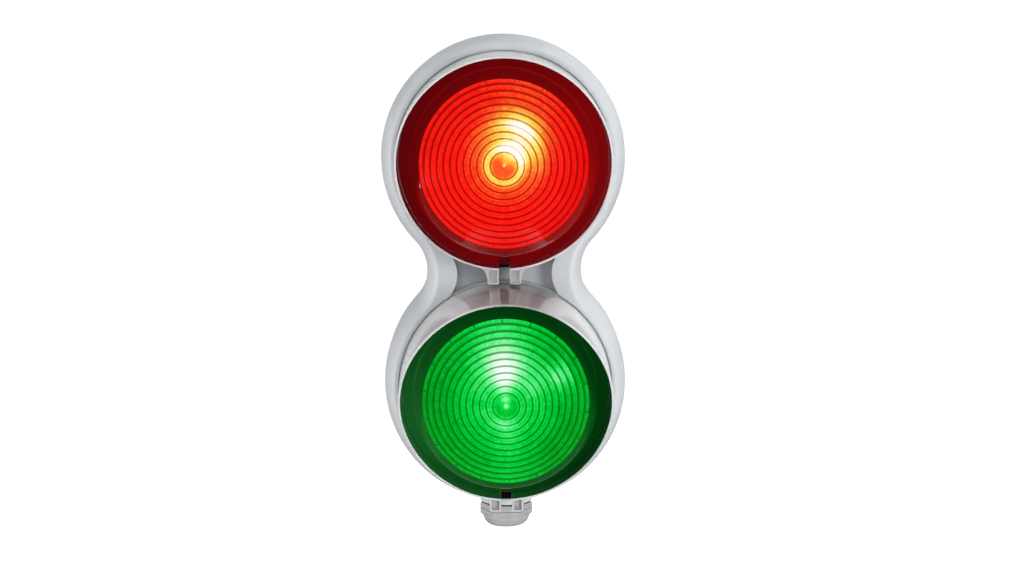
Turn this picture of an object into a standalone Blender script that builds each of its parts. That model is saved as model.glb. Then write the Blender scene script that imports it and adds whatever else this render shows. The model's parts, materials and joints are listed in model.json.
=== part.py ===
"""Compact wall signal light with two aspects: red above green, each under its own clip-on visor.

Frame: metres, +Z up. The wall is the plane y = 0, the light looks along -Y, and the origin is the
middle of the flat back face, half way between the two lens axes. Pieces that are turned about a
lens axis, or swept round the housing outline, are modelled with their own z as the depth in front
of the wall; FACE_OUT then turns them to look along -Y.
"""

import math

import bmesh
import bpy
from mathutils import Matrix, Vector

# Housing outline: two discs joined by a concave waist
AXIS_Z = 0.07425          # lens axes lie this far above and below the origin
DISC_R = 0.080
WAIST_HALF = 0.0508       # half width of the narrowest place
SIDE_DEPTH = 0.022        # the side wall runs straight from the wall to here
FRONT_DEPTH = 0.056       # flat front face
SHOULDER = 0.009          # how far the shoulder draws in between the two
WALL = 0.0034
BACK_LIP = 0.0015
BACK_STEP = 0.0038        # width of lip and gasket step together
STEP_DEPTH = 0.0049
GAP = 0.0003              # clearance between touching pieces
OVERRUN = 0.002           # how far a cutter reaches past what it cuts

# Waist recess between the two visors
RECESS_DEPTH = 0.010
RECESS_HALF = 0.0303      # half width at mid height
RECESS_SIDE_R = 0.0225    # radius of its two side arcs, which bulge inwards
RECESS_DISC_R = 0.0701    # the recess stops at this radius from each lens axis
RECESS_WALL_R = 0.060     # radius of the side arcs of the wall that backs the recess

# Lens collar, lens and bayonet
COLLAR_BORE_R = 0.0600
COLLAR_R = 0.0666
COLLAR_DEPTH = 0.066
LENS_SKIRT_R = 0.0597
LENS_FLANGE_R = 0.0664    # it covers the collar's end
LENS_SIDE_R = 0.0586      # where the side wall runs into the shoulder
LENS_PATTERN_R = 0.0522   # edge of the ringed dome
LENS_TIP_DEPTH = 0.1185
LENS_DOME_R = 0.092
LENS_WALL = 0.0024
LUG_COUNT = 3
LUG_WIDTH = 0.013
LUG_DEPTHS = (0.0493, 0.0523)
LUG_REACH = 0.0597        # the lugs are centred at this radius
UNLOCK_TURN = math.radians(20)

# Visor: a split ring, long above and short below
VISOR_BASE_R = 0.0690
VISOR_RIM_R = 0.0664
VISOR_WALL = 0.0014
VISOR_TOP_DEPTH = 0.137
VISOR_SIDE_DEPTH = 0.1115
SLOT_HALF = 0.00365
EAR_OUT = 0.01075
EAR_END_R = 0.0786
EAR_DEPTH = 0.072
EAR_WALL = 0.0010
EAR_FLARE_R = 0.0060      # fillet between an ear and the ring
EAR_WELL = 0.0018         # the ears' front faces are dished this deep

# Back plate, boards and wiring
PLATE_DEPTH = 0.0030
PLATE_SCREW_INSET = 0.0080
BOSS_R = 0.0048           # bosses that the plate screws bite into
BOSS_HOLE_R = 0.0015
PLATE_HOLE_R = 0.0018
SINK_R = 0.0034           # counterbores for the plate screws' heads
SINK_DEPTH = 0.0018
BOARD_R = 0.040
BOARD_DEPTHS = (0.0280, 0.0296)
PILLARS = [(-0.0300, 0.0), (0.0300, 0.0)]
PILLAR_R = 0.0035
PILLAR_HOLE_R = 0.0013
FIXING_R = 0.054          # wall fixings lie at this radius from the lens axes
FIXING_HOLE_R = 0.0045
LED_CARRIER_R = 0.0240
TERMINAL_XS = (-0.012, -0.004, 0.004, 0.012)
TERMINAL_TOP_Z = -0.114
TERMINAL_BOTTOM_Z = -0.131
TERMINAL_DEPTH = 0.017
CONNECTOR_OFFSET = (0.008, -0.030)   # from the middle of the board; mirrored on the green one
WIRE_R = 0.0011

# Cable gland under the lower disc
GLAND_DEPTH = 0.026       # its axis lies this far in front of the wall
PAD_Z = -0.1560
INNER_PAD_Z = -0.1480
PAD_R = 0.0173
GLAND_HEX_R = 0.0174
GLAND_THREAD_R = 0.0122
GLAND_BORE_R = 0.0093

ROUND = 40                # steps round the large turned pieces
DISC_STEPS = 30           # steps round each disc of the outline
NOTCH_STEPS = 6
FACE_OUT = Matrix.Rotation(math.radians(90), 4, "X")
NOTCH_R = (WAIST_HALF**2 + AXIS_Z**2 - DISC_R**2) / (2 * (DISC_R - WAIST_HALF))
NOTCH_X = WAIST_HALF + NOTCH_R

for old in list(bpy.data.objects):
    bpy.data.objects.remove(old, do_unlink=True)


def new_collection(name):
    found = bpy.data.collections.get(name) or bpy.data.collections.new(name)
    if name not in bpy.context.scene.collection.children:
        bpy.context.scene.collection.children.link(found)
    return found


PARTS = new_collection("signal_light")
CUTTERS = new_collection("cutters")


# ---------------------------------------------------------------- helpers
def material(name, colour, roughness, metallic=0.0):
    """A plain Principled material, shared by name."""
    mat = bpy.data.materials.get(name)
    if mat is None:
        mat = bpy.data.materials.new(name)
        mat.use_nodes = True
        shader = mat.node_tree.nodes["Principled BSDF"]
        shader.inputs["Base Color"].default_value = (*colour, 1.0)
        shader.inputs["Roughness"].default_value = roughness
        shader.inputs["Metallic"].default_value = metallic
    return mat


def add_object(name, mesh, mat=None, matrix=None):
    """Links a mesh as a visible part, or as a hidden cutter when it has no material."""
    obj = bpy.data.objects.new(name, mesh)
    obj.matrix_world = matrix or Matrix()
    if mat is None:
        CUTTERS.objects.link(obj)
        obj.hide_render = True
        obj.display_type = "WIRE"
    else:
        PARTS.objects.link(obj)
        mesh.materials.append(mat)
    return obj


def finish_mesh(bm, name):
    """Turns a closed bmesh into a mesh with outward faces."""
    bmesh.ops.recalc_face_normals(bm, faces=bm.faces)
    mesh = bpy.data.meshes.new(name)
    bm.to_mesh(mesh)
    bm.free()
    return mesh


def smooth(obj, angle=35):
    obj.data.shade_smooth()
    obj.data.set_sharp_from_angle(angle=math.radians(angle))
    return obj


def boolean(obj, tool, operation):
    mod = obj.modifiers.new(tool.name, "BOOLEAN")
    mod.operation = operation
    mod.solver = "EXACT"
    mod.object = tool
    return obj


def turned(name, profile, mat=None, matrix=None, steps=ROUND):
    """Turns (radius, height) points, given down the outer side, about the object's own z axis."""
    mesh = bpy.data.meshes.new(name)
    count = len(profile)
    closed = profile[0][0] > 0 or profile[-1][0] > 0
    edges = [(i, i + 1) for i in range(count - 1)] + ([(count - 1, 0)] if closed else [])
    mesh.from_pydata([(r, 0, z) for r, z in profile], edges, [])
    obj = add_object(name, mesh, mat, matrix)
    screw = obj.modifiers.new("turn", "SCREW")
    screw.steps = screw.render_steps = steps
    screw.use_merge_vertices = True
    screw.merge_threshold = 0.00001
    screw.use_smooth_shade = True
    return obj


def rods(name, radius, low, high, centres, mat=None, matrix=None, steps=16):
    """Upright cylinders of one radius at several (x, y) places, in one mesh."""
    bm = bmesh.new()
    for x, y in centres:
        place = Matrix.Translation((x, y, (low + high) / 2))
        bmesh.ops.create_cone(bm, cap_ends=True, segments=steps, radius1=radius,
                              radius2=radius, depth=high - low, matrix=place)
    return add_object(name, finish_mesh(bm, name), mat, matrix)


def blocks(name, places, mat=None, matrix=None):
    """Boxes, each given as (size, placing matrix), in one mesh."""
    bm = bmesh.new()
    for size, place in places:
        bmesh.ops.create_cube(bm, size=1.0, matrix=place @ Matrix.Diagonal((*size, 1.0)))
    return add_object(name, finish_mesh(bm, name), mat, matrix)


def block(name, low, high, mat=None, matrix=None):
    """One box between two corners."""
    size = [b - a for a, b in zip(low, high)]
    middle = [(a + b) / 2 for a, b in zip(low, high)]
    return blocks(name, [(size, Matrix.Translation(middle))], mat, matrix)


def arc(centre, radius, start, end, steps):
    """Points along an arc, without its last point."""
    for i in range(steps):
        a = start + (end - start) * i / steps
        yield centre[0] + radius * math.cos(a), centre[1] + radius * math.sin(a)


def outline(inset):
    """The housing outline moved inwards by inset: disc, waist, disc, waist, counter-clockwise."""
    join = math.atan2(AXIS_Z, NOTCH_X)
    disc, notch = DISC_R - inset, NOTCH_R + inset
    points = list(arc((0, AXIS_Z), disc, -join, math.pi + join, DISC_STEPS))
    points += arc((-NOTCH_X, 0), notch, join, -join, NOTCH_STEPS)
    points += arc((0, -AXIS_Z), disc, math.pi - join, 2 * math.pi + join, DISC_STEPS)
    points += arc((NOTCH_X, 0), notch, math.pi + join, math.pi - join, NOTCH_STEPS)
    return points


def swept(name, section, mat=None, ring=False):
    """Sweeps (inset, depth) points round the outline; a ring closes on itself, else both ends
    are capped."""
    bm = bmesh.new()
    loops = [[bm.verts.new((x, y, depth)) for x, y in outline(inset)] for inset, depth in section]
    pairs = list(zip(loops, loops[1:] + loops[:1])) if ring else list(zip(loops, loops[1:]))
    for near, far in pairs:
        for i in range(len(near)):
            j = (i + 1) % len(near)
            bm.faces.new((near[i], near[j], far[j], far[i]))
    if not ring:
        bm.faces.new(loops[0])
        bm.faces.new(loops[-1])
    return add_object(name, finish_mesh(bm, name), mat, FACE_OUT)


def flat_outline(name, points, low, high, mat=None, matrix=None):
    """Fills a closed outline and gives it thickness between two heights."""
    bm = bmesh.new()
    face = bm.faces.new([bm.verts.new((x, y, low)) for x, y in points])
    top = bmesh.ops.extrude_face_region(bm, geom=[face])["geom"]
    moved = [v for v in top if isinstance(v, bmesh.types.BMVert)]
    bmesh.ops.translate(bm, verts=moved, vec=(0, 0, high - low))
    return add_object(name, finish_mesh(bm, name), mat, matrix)


def at_axis(sign):
    """Places a piece on the upper (+1) or lower (-1) lens axis, looking out from the wall."""
    return Matrix.Translation((0, 0, sign * AXIS_Z)) @ FACE_OUT


def about(angle, radius, depth):
    """A place at an angle and radius round a turned piece's own axis, turned to face outwards."""
    return Matrix.Rotation(angle, 4, "Z") @ Matrix.Translation((radius, 0, depth))


def smooth_route(points, per_span=3):
    """Catmull-Rom points through a wire's route."""
    spread = [points[0], *points, points[-1]]
    found = []
    for a, b, c, d in zip(spread, spread[1:], spread[2:], spread[3:]):
        a, b, c, d = Vector(a), Vector(b), Vector(c), Vector(d)
        for i in range(per_span):
            t = i / per_span
            found.append(0.5 * (2 * b + (c - a) * t + (2 * a - 5 * b + 4 * c - d) * t * t
                                + (3 * b - a - 3 * c + d) * t**3))
    return [*found, Vector(points[-1])]


# ---------------------------------------------------------------- materials
GREY = material("housing_grey", (0.60, 0.61, 0.62), 0.42)
DARK = material("dark_plastic", (0.05, 0.05, 0.055), 0.5)
RUBBER = material("black_rubber", (0.02, 0.02, 0.02), 0.8)
STEEL = material("zinc_steel", (0.55, 0.55, 0.54), 0.35, 1.0)
RED = material("red_lens_plastic", (0.75, 0.01, 0.005), 0.12)
GREEN = material("green_lens_plastic", (0.0, 0.55, 0.06), 0.12)
WHITE = material("white_reflector", (0.85, 0.85, 0.84), 0.35)
BOARD = material("board_laminate", (0.02, 0.12, 0.05), 0.45)
LED_CASE = material("led_case", (0.9, 0.9, 0.82), 0.3)
TERMINAL = material("terminal_plastic", (0.16, 0.17, 0.18), 0.5)
WIRE_BROWN = material("wire_brown", (0.10, 0.04, 0.02), 0.5)
WIRE_BLUE = material("wire_blue", (0.02, 0.08, 0.35), 0.5)
GLAND = material("gland_grey", (0.50, 0.51, 0.52), 0.45)


# ---------------------------------------------------------------- housing
def plate_screw_places():
    """Where the seven back plate screws sit: round both discs and at the waist."""
    reach = DISC_R - PLATE_SCREW_INSET
    upper = [(reach * math.cos(math.radians(a)), AXIS_Z + reach * math.sin(math.radians(a)))
             for a in (10, 90, 170)]
    lower = [(reach * math.cos(math.radians(a)), -AXIS_Z + reach * math.sin(math.radians(a)))
             for a in (-50, -130)]
    waist = [(side * (WAIST_HALF - PLATE_SCREW_INSET), 0) for side in (-1, 1)]
    return upper + lower + waist


def shoulder(inset, top):
    """The quarter ellipse from the side wall to the front face, moved inwards by inset."""
    steps = 4
    for i in range(steps + 1):
        a = math.radians(90) * i / steps
        yield (inset + SHOULDER * (1 - math.cos(a)),
               SIDE_DEPTH + (top - SIDE_DEPTH) * math.sin(a))


def recess_points(half, side_r, disc_r):
    """Outline of the waist recess: two side arcs and the arcs round both lens axes."""
    side_x = half + side_r
    apart = math.hypot(side_x, AXIS_Z)
    along = math.atan2(AXIS_Z, side_x)
    side_half = math.acos((side_r**2 + apart**2 - disc_r**2) / (2 * side_r * apart))
    disc_half = math.acos((disc_r**2 + apart**2 - side_r**2) / (2 * disc_r * apart))
    low, tilt = along - side_half, along + disc_half
    points = list(arc((-side_x, 0), side_r, low, -low, 8))
    points += arc((0, -AXIS_Z), disc_r, math.pi - tilt, tilt, 14)
    points += arc((side_x, 0), side_r, math.pi + low, math.pi - low, 8)
    points += arc((0, AXIS_Z), disc_r, -tilt, tilt - math.pi, 14)
    return points


def make_housing():
    body = swept("housing", [(0.0012, 0.0006), (0.0003, 0.0012), (0, 0.0024),
                             *shoulder(0, FRONT_DEPTH)], GREY)
    floor = FRONT_DEPTH - WALL
    cavity = swept("cavity", [(BACK_LIP, -OVERRUN), (BACK_LIP, STEP_DEPTH),
                              (BACK_STEP, STEP_DEPTH), *shoulder(BACK_STEP, floor)])
    around = recess_points(RECESS_HALF + 2 * WALL, RECESS_WALL_R, RECESS_DISC_R - WALL)
    keep = flat_outline("recess_wall", around, floor - RECESS_DEPTH, FRONT_DEPTH,
                        matrix=FACE_OUT)
    boolean(cavity, keep, "DIFFERENCE")
    bosses = rods("plate_bosses", BOSS_R, STEP_DEPTH, SIDE_DEPTH, plate_screw_places(),
                  matrix=FACE_OUT, steps=12)
    boolean(cavity, bosses, "DIFFERENCE")
    inner_pad = rods("inner_pad", PAD_R, PAD_Z, INNER_PAD_Z, [(0, -GLAND_DEPTH)], steps=32)
    boolean(cavity, inner_pad, "DIFFERENCE")
    outer_pad = rods("outer_pad", PAD_R, PAD_Z, INNER_PAD_Z - 0.001, [(0, -GLAND_DEPTH)],
                     steps=32)
    boolean(body, outer_pad, "UNION")
    boolean(body, cavity, "DIFFERENCE")
    waist = recess_points(RECESS_HALF, RECESS_SIDE_R, RECESS_DISC_R)
    recess = flat_outline("waist_recess", waist, FRONT_DEPTH - RECESS_DEPTH,
                          FRONT_DEPTH + OVERRUN, matrix=FACE_OUT)
    boolean(body, recess, "DIFFERENCE")
    notch_size = (0.008, LUG_WIDTH + 0.002, 0.030)
    notches = [(notch_size, about(math.tau * i / LUG_COUNT + UNLOCK_TURN, LUG_REACH - GAP,
                                  COLLAR_DEPTH - 0.005)) for i in range(LUG_COUNT)]
    sunk, edge = FRONT_DEPTH - 0.001, 0.0006
    for sign, side in ((1, "upper"), (-1, "lower")):
        middle, inner_r = (COLLAR_R + COLLAR_BORE_R) / 2, COLLAR_BORE_R - OVERRUN
        collar = turned(f"{side}_collar", [
            (COLLAR_R, COLLAR_DEPTH - edge), (COLLAR_R, sunk), (middle, sunk), (inner_r, sunk),
            (inner_r, COLLAR_DEPTH), (COLLAR_R - edge, COLLAR_DEPTH)], matrix=at_axis(sign))
        boolean(body, collar, "UNION")
        bore = rods(f"{side}_bore", COLLAR_BORE_R, FRONT_DEPTH - 0.008, COLLAR_DEPTH + 0.004,
                    [(0, 0)], matrix=at_axis(sign), steps=ROUND)
        boolean(body, bore, "DIFFERENCE")
        cuts = blocks(f"{side}_lug_notches", notches, matrix=at_axis(sign))
        boolean(body, cuts, "DIFFERENCE")
    holes = rods("boss_holes", BOSS_HOLE_R, STEP_DEPTH - OVERRUN, SIDE_DEPTH - OVERRUN,
                 plate_screw_places(), matrix=FACE_OUT, steps=8)
    boolean(body, holes, "DIFFERENCE")
    gland_hole = rods("gland_hole", GLAND_THREAD_R + GAP, PAD_Z - OVERRUN, INNER_PAD_Z + OVERRUN,
                      [(0, -GLAND_DEPTH)], steps=24)
    boolean(body, gland_hole, "DIFFERENCE")
    smooth(body)


def fixing_places():
    """Four wall fixings, two in each chamber, reached through the lens openings."""
    for sign, angles in ((1, (50, 130)), (-1, (-40, -140))):
        for a in angles:
            yield (FIXING_R * math.cos(math.radians(a)),
                   sign * AXIS_Z + FIXING_R * math.sin(math.radians(a)))


def make_back_plate():
    plate = swept("back_plate", [(BACK_LIP + 0.0006, 0), (BACK_LIP + GAP, 0.0006),
                                 (BACK_LIP + GAP, PLATE_DEPTH)], GREY)
    pillars = [(x, sign * AXIS_Z + z) for sign in (1, -1) for x, z in PILLARS]
    posts = rods("board_pillars", PILLAR_R, PLATE_DEPTH - 0.001, BOARD_DEPTHS[0] - GAP, pillars,
                 matrix=FACE_OUT, steps=14)
    boolean(plate, posts, "UNION")
    holes = rods("pillar_holes", PILLAR_HOLE_R, 0.012, BOARD_DEPTHS[0] + OVERRUN, pillars,
                 matrix=FACE_OUT, steps=10)
    boolean(plate, holes, "DIFFERENCE")
    through = rods("plate_holes", PLATE_HOLE_R, -OVERRUN, PLATE_DEPTH + OVERRUN,
                   plate_screw_places(), matrix=FACE_OUT, steps=10)
    boolean(plate, through, "DIFFERENCE")
    sinks = rods("plate_sinks", SINK_R, -OVERRUN, SINK_DEPTH, plate_screw_places(),
                 matrix=FACE_OUT, steps=10)
    boolean(plate, sinks, "DIFFERENCE")
    fixings = rods("fixing_holes", FIXING_HOLE_R, -OVERRUN, PLATE_DEPTH + OVERRUN, fixing_places(),
                   matrix=FACE_OUT, steps=14)
    boolean(plate, fixings, "DIFFERENCE")
    smooth(plate)
    swept("plate_gasket", [(BACK_LIP + GAP, PLATE_DEPTH + GAP),
                           (BACK_STEP - 0.0001, PLATE_DEPTH + GAP),
                           (BACK_STEP - 0.0001, STEP_DEPTH - GAP),
                           (BACK_LIP + GAP, STEP_DEPTH - GAP)], RUBBER, ring=True)


def copies(name, mat, profile, places, matrix, steps=8, slot=0.0):
    """Equal turned pieces that share one mesh, each its own object. A slot crosses the head."""
    spun = turned(f"{name}_shape", profile, steps=steps)
    tools = [spun]
    if slot:
        top = max(z for _, z in profile)
        tools.append(block(f"{name}_slot", (-0.01, -slot / 2, top - slot),
                           (0.01, slot / 2, top + 0.002)))
        boolean(spun, tools[-1], "DIFFERENCE")
    depsgraph = bpy.context.evaluated_depsgraph_get()
    shape = bpy.data.meshes.new_from_object(spun.evaluated_get(depsgraph))
    for tool in tools:
        bpy.data.objects.remove(tool, do_unlink=True)
    shape.name = name
    shape.materials.append(mat)
    for i, place in enumerate(places):
        piece = bpy.data.objects.new(f"{name}_{i + 1}", shape)
        PARTS.objects.link(piece)
        piece.matrix_world = matrix @ place
        smooth(piece)


def screw_profile(head_r, head_h, shank_r, length):
    """A pan head above z = 0 and a plain shank with a chamfered end below it."""
    return [(0, head_h), (head_r * 0.75, head_h), (head_r, head_h * 0.55), (head_r, 0),
            (shank_r, 0), (shank_r, -length + 0.0008), (shank_r * 0.5, -length), (0, -length)]


def make_fasteners():
    over = Matrix.Rotation(math.pi, 4, "X")
    sunk = [Matrix.Translation((x, y, SINK_DEPTH - GAP)) @ over for x, y in plate_screw_places()]
    plate_screw = screw_profile(head_r=0.0029, head_h=0.0012, shank_r=0.0012, length=0.016)
    copies("plate_screw", STEEL, plate_screw, sunk, FACE_OUT, slot=0.0006)
    board_top = BOARD_DEPTHS[1] + GAP
    on_board = [Matrix.Translation((x, sign * AXIS_Z + z, board_top))
                for sign in (1, -1) for x, z in PILLARS]
    board_screw = screw_profile(head_r=0.0024, head_h=0.0018, shank_r=0.0010, length=0.010)
    copies("board_screw", STEEL, board_screw, on_board, FACE_OUT, slot=0.0006)
    lip_r, lip_h, bore_r = 0.0058, 0.0010, 0.0024
    plug_r = FIXING_HOLE_R - GAP
    plug = [(lip_r, lip_h), (lip_r, 0), (plug_r, 0), (plug_r, -PLATE_DEPTH),
            (bore_r, -PLATE_DEPTH), (bore_r, lip_h)]
    on_plate = [Matrix.Translation((x, y, PLATE_DEPTH + GAP)) for x, y in fixing_places()]
    copies("fixing_grommet", RUBBER, plug, on_plate, FACE_OUT, steps=12)


# ---------------------------------------------------------------- light units
def make_board(colour, sign):
    """LED board, emitters, driver parts and reflector of one aspect."""
    here = at_axis(sign)
    low, high = BOARD_DEPTHS
    board = rods(f"{colour}_led_board", BOARD_R, low, high, [(0, 0)], BOARD, here, steps=36)
    holes = rods(f"{colour}_board_holes", PILLAR_HOLE_R + 0.0001, low - OVERRUN, high + OVERRUN, PILLARS,
                 matrix=here, steps=10)
    boolean(board, holes, "DIFFERENCE")

    face = high + GAP
    carrier = rods(f"{colour}_led_module", LED_CARRIER_R, face, face + 0.0012, [(0, 0)],
                   LED_CASE, here, steps=32)
    bm = bmesh.new()
    for radius, count in ((0, 1), (0.0085, 5), (0.0175, 10)):
        for i in range(count):
            place = about(math.tau * i / count, radius, face + 0.0022)
            bmesh.ops.create_cone(bm, cap_ends=True, segments=6, radius1=0.0026, radius2=0.0012,
                                  depth=0.0032, matrix=place)
    lamps = add_object(f"{colour}_lamps", finish_mesh(bm, f"{colour}_lamps"), matrix=here)
    boolean(carrier, lamps, "UNION")

    side = sign * CONNECTOR_OFFSET[0]
    back = low - GAP
    capacitor = turned(f"{colour}_capacitor", [
        (0, back), (0.0050, back), (0.0050, back - 0.0110), (0.0044, back - 0.0118),
        (0, back - 0.0118)], DARK, here @ Matrix.Translation((-1.8 * side, 0.010, 0)), steps=20)
    smooth(capacitor)
    plug_z = CONNECTOR_OFFSET[1]
    block(f"{colour}_connector", (side - 0.007, plug_z - 0.003, back - 0.006),
          (side + 0.007, plug_z + 0.003, back), WHITE, here)
    block(f"{colour}_driver_chip", (2 * side - 0.0045, 0.008, back - 0.0030),
          (2 * side + 0.0045, 0.017, back), DARK, here)

    reflector = turned(f"{colour}_reflector", [
        (0.0540, 0.0600), (0.0372, high + GAP), (0.0340, high + GAP), (0.0340, high + 0.0015),
        (0.0362, high + 0.0015), (0.0527, 0.0600)], WHITE, here, steps=36)
    smooth(reflector)


def make_terminal():
    block_mesh = block("terminal_block", (-0.017, TERMINAL_BOTTOM_Z, PLATE_DEPTH + GAP),
                       (0.017, TERMINAL_TOP_Z, TERMINAL_DEPTH), TERMINAL, FACE_OUT)
    middle = (TERMINAL_TOP_Z + TERMINAL_BOTTOM_Z) / 2
    wells = rods("terminal_wells", 0.0026, TERMINAL_DEPTH - 0.0046, TERMINAL_DEPTH + OVERRUN,
                 [(x, middle) for x in TERMINAL_XS], matrix=FACE_OUT, steps=12)
    boolean(block_mesh, wells, "DIFFERENCE")
    sideways = Matrix.Translation((0, -0.0105, 0))
    entries = rods("terminal_entries", WIRE_R + 0.0004, TERMINAL_BOTTOM_Z - OVERRUN,
                   TERMINAL_TOP_Z + OVERRUN, [(x, 0) for x in TERMINAL_XS],
                   matrix=sideways, steps=10)
    boolean(block_mesh, entries, "DIFFERENCE")
    screw = screw_profile(head_r=0.0022, head_h=0.0024, shank_r=0.0022, length=0.0008)
    in_wells = [Matrix.Translation((x, middle, TERMINAL_DEPTH - 0.0035)) for x in TERMINAL_XS]
    copies("terminal_screw", STEEL, screw, in_wells, FACE_OUT, slot=0.0007)


def make_wires():
    """Two wires to each board, from the terminal block to the connector behind the board."""
    start, drop = TERMINAL_TOP_Z - 0.0035, 0.0105
    plug_back = BOARD_DEPTHS[0] - 0.0060 - 2 * GAP
    for colour, sign, xs in (("red", 1, TERMINAL_XS[2:]), ("green", -1, TERMINAL_XS[:2])):
        plug_z = sign * AXIS_Z + CONNECTOR_OFFSET[1]
        for x, kind, mat in zip(xs, ("live", "neutral"), (WIRE_BROWN, WIRE_BLUE)):
            route = [(x, start, drop), (x, start + 0.007, drop)]
            if sign > 0:
                route += [(x, -0.095, 0.0075), (x, -0.06, 0.0070), (x, -0.02, 0.0070),
                          (x, 0.02, 0.0072), (x, plug_z - 0.008, 0.0095)]
            route += [(x, plug_z - 0.0015, 0.0145), (x, plug_z, plug_back)]
            curve = bpy.data.curves.new(f"{colour}_{kind}_wire", "CURVE")
            curve.dimensions = "3D"
            curve.bevel_depth = WIRE_R
            curve.bevel_resolution = 2
            curve.use_fill_caps = True
            points = smooth_route(route)
            line = curve.splines.new("POLY")
            line.points.add(len(points) - 1)
            for place, (px, py, pz) in zip(line.points, points):
                place.co = (px, py, pz, 1)
            curve.materials.append(mat)
            wire = bpy.data.objects.new(curve.name, curve)
            PARTS.objects.link(wire)
            wire.matrix_world = FACE_OUT


# ---------------------------------------------------------------- lenses and visors
def dome(radius, tip, out_to, steps):
    """Points on a sphere from its tip on the axis out to a radius."""
    for i in range(steps + 1):
        r = out_to * i / steps
        yield r, tip - radius + math.sqrt(radius**2 - r**2)


def lens_outer():
    """From the tip over the dome and the rounded shoulder down to the flange."""
    points = list(dome(LENS_DOME_R, LENS_TIP_DEPTH, LENS_PATTERN_R, 5))
    slope = math.asin(LENS_PATTERN_R / LENS_DOME_R)
    bend = (LENS_SIDE_R - LENS_PATTERN_R) / (1 - math.sin(slope))
    centre_r = LENS_SIDE_R - bend
    centre_z = points[-1][1] - bend * math.cos(slope)
    for i in range(1, 4):
        a = slope + (math.pi / 2 - slope) * i / 3
        points.append((centre_r + bend * math.sin(a), centre_z + bend * math.cos(a)))
    return points


def make_lens(colour, sign, mat):
    here = at_axis(sign)
    flange_low = COLLAR_DEPTH + GAP
    outer = lens_outer()
    inner = [(r * (1 - LENS_WALL / LENS_SIDE_R), z - LENS_WALL) for r, z in outer[::2]]
    skirt_in = LENS_SKIRT_R - 0.0035
    groove = (0.0583, 0.0595, 0.0621)
    profile = [*outer, (LENS_SKIRT_R - 0.0003, flange_low + 0.002),
               (LENS_FLANGE_R - 0.0006, flange_low + 0.002), (LENS_FLANGE_R, flange_low + 0.0014),
               (LENS_FLANGE_R, flange_low), (LENS_SKIRT_R, flange_low),
               (LENS_SKIRT_R, groove[2]), (groove[0], groove[2]), (groove[0], groove[1]),
               (LENS_SKIRT_R, groove[1]), (LENS_SKIRT_R, LUG_DEPTHS[0]),
               (skirt_in, LUG_DEPTHS[0]), (skirt_in, flange_low), *reversed(inner)]
    lens = turned(f"{colour}_lens", profile, mat, here)
    lug_low, lug_high = LUG_DEPTHS
    lugs = [((0.005, LUG_WIDTH, lug_high - lug_low),
             about(math.tau * i / LUG_COUNT, LUG_REACH, (lug_low + lug_high) / 2))
            for i in range(LUG_COUNT)]
    boolean(lens, blocks(f"{colour}_lugs", lugs, matrix=here), "UNION")

    thick = 0.00055
    middle_r, middle_z = (groove[0] + GAP + thick, (groove[1] + groove[2]) / 2)
    section = [(middle_r + thick * math.cos(a), middle_z - 1.6 * thick * math.sin(a))
               for a in (math.tau * i / 6 for i in range(6))]
    turned(f"{colour}_lens_seal", section, RUBBER, here, steps=36)


def rim_depth(angle):
    """How far the visor's front edge stands from the wall, by angle from the right-hand side."""
    reach = VISOR_TOP_DEPTH - VISOR_SIDE_DEPTH
    return VISOR_SIDE_DEPTH + reach * math.sin(math.pi / 2 * math.sin(angle))


def visor_radius(depth):
    base = FRONT_DEPTH + GAP
    share = (depth - base) / (VISOR_TOP_DEPTH - base)
    return VISOR_BASE_R + (VISOR_RIM_R - VISOR_BASE_R) * share


def ear_points(side, margin=0.0):
    """Outline of one ear below the ring, seen from the front, with a flared outer root."""
    root_r = VISOR_BASE_R - 0.0012
    near, far, end = SLOT_HALF + margin, EAR_OUT - margin, EAR_END_R - margin
    if margin:
        top = -VISOR_BASE_R - margin
        return [(side * x, y) for x, y in ((near, -end), (far, -end), (far, top), (near, top))]
    points = [(near, -end), (far, -end)]
    reach = VISOR_BASE_R + EAR_FLARE_R
    hub = (far + EAR_FLARE_R, -math.sqrt(reach**2 - (far + EAR_FLARE_R)**2))
    meets = math.atan2(-hub[1], -hub[0])
    points += arc(hub, EAR_FLARE_R, math.pi, meets, 5)
    outer = -math.acos(hub[0] * VISOR_BASE_R / reach / root_r)
    inner = -math.acos(near / root_r)
    points += arc((0, 0), root_r, outer, inner, 4)
    points.append((near, -math.sqrt(root_r**2 - near**2)))
    return [(side * x, y) for x, y in points]


def make_visor(colour, sign):
    here = at_axis(sign)
    bm = bmesh.new()
    bmesh.ops.create_grid(bm, x_segments=44, y_segments=3, size=1.0)
    for vert in bm.verts:
        share_round, share_out = (vert.co.x + 1) / 2, (vert.co.y + 1) / 2
        trim = math.asin(SLOT_HALF / VISOR_BASE_R)
        angle = -math.pi / 2 + trim + (math.tau - 2 * trim) * share_round
        base = FRONT_DEPTH + GAP
        depth = base + (rim_depth(angle) - base) * share_out
        r = visor_radius(depth)
        vert.co = (r * math.cos(angle), r * math.sin(angle), depth)
    mesh = bpy.data.meshes.new(f"{colour}_visor")
    bm.to_mesh(mesh)
    bm.free()
    visor = add_object(f"{colour}_visor", mesh, GREY, here)
    shell = visor.modifiers.new("wall", "SOLIDIFY")
    shell.thickness = VISOR_WALL
    shell.offset = -1
    shell.use_even_offset = True
    base = FRONT_DEPTH + GAP
    for side, tag in ((1, "right"), (-1, "left")):
        ear = flat_outline(f"{colour}_{tag}_ear", ear_points(side), base, EAR_DEPTH, matrix=here)
        boolean(visor, ear, "UNION")
        hollow = flat_outline(f"{colour}_{tag}_ear_hollow", ear_points(side, EAR_WALL),
                              EAR_DEPTH - EAR_WELL, EAR_DEPTH + OVERRUN, matrix=here)
        boolean(visor, hollow, "DIFFERENCE")
    smooth(visor)


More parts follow.
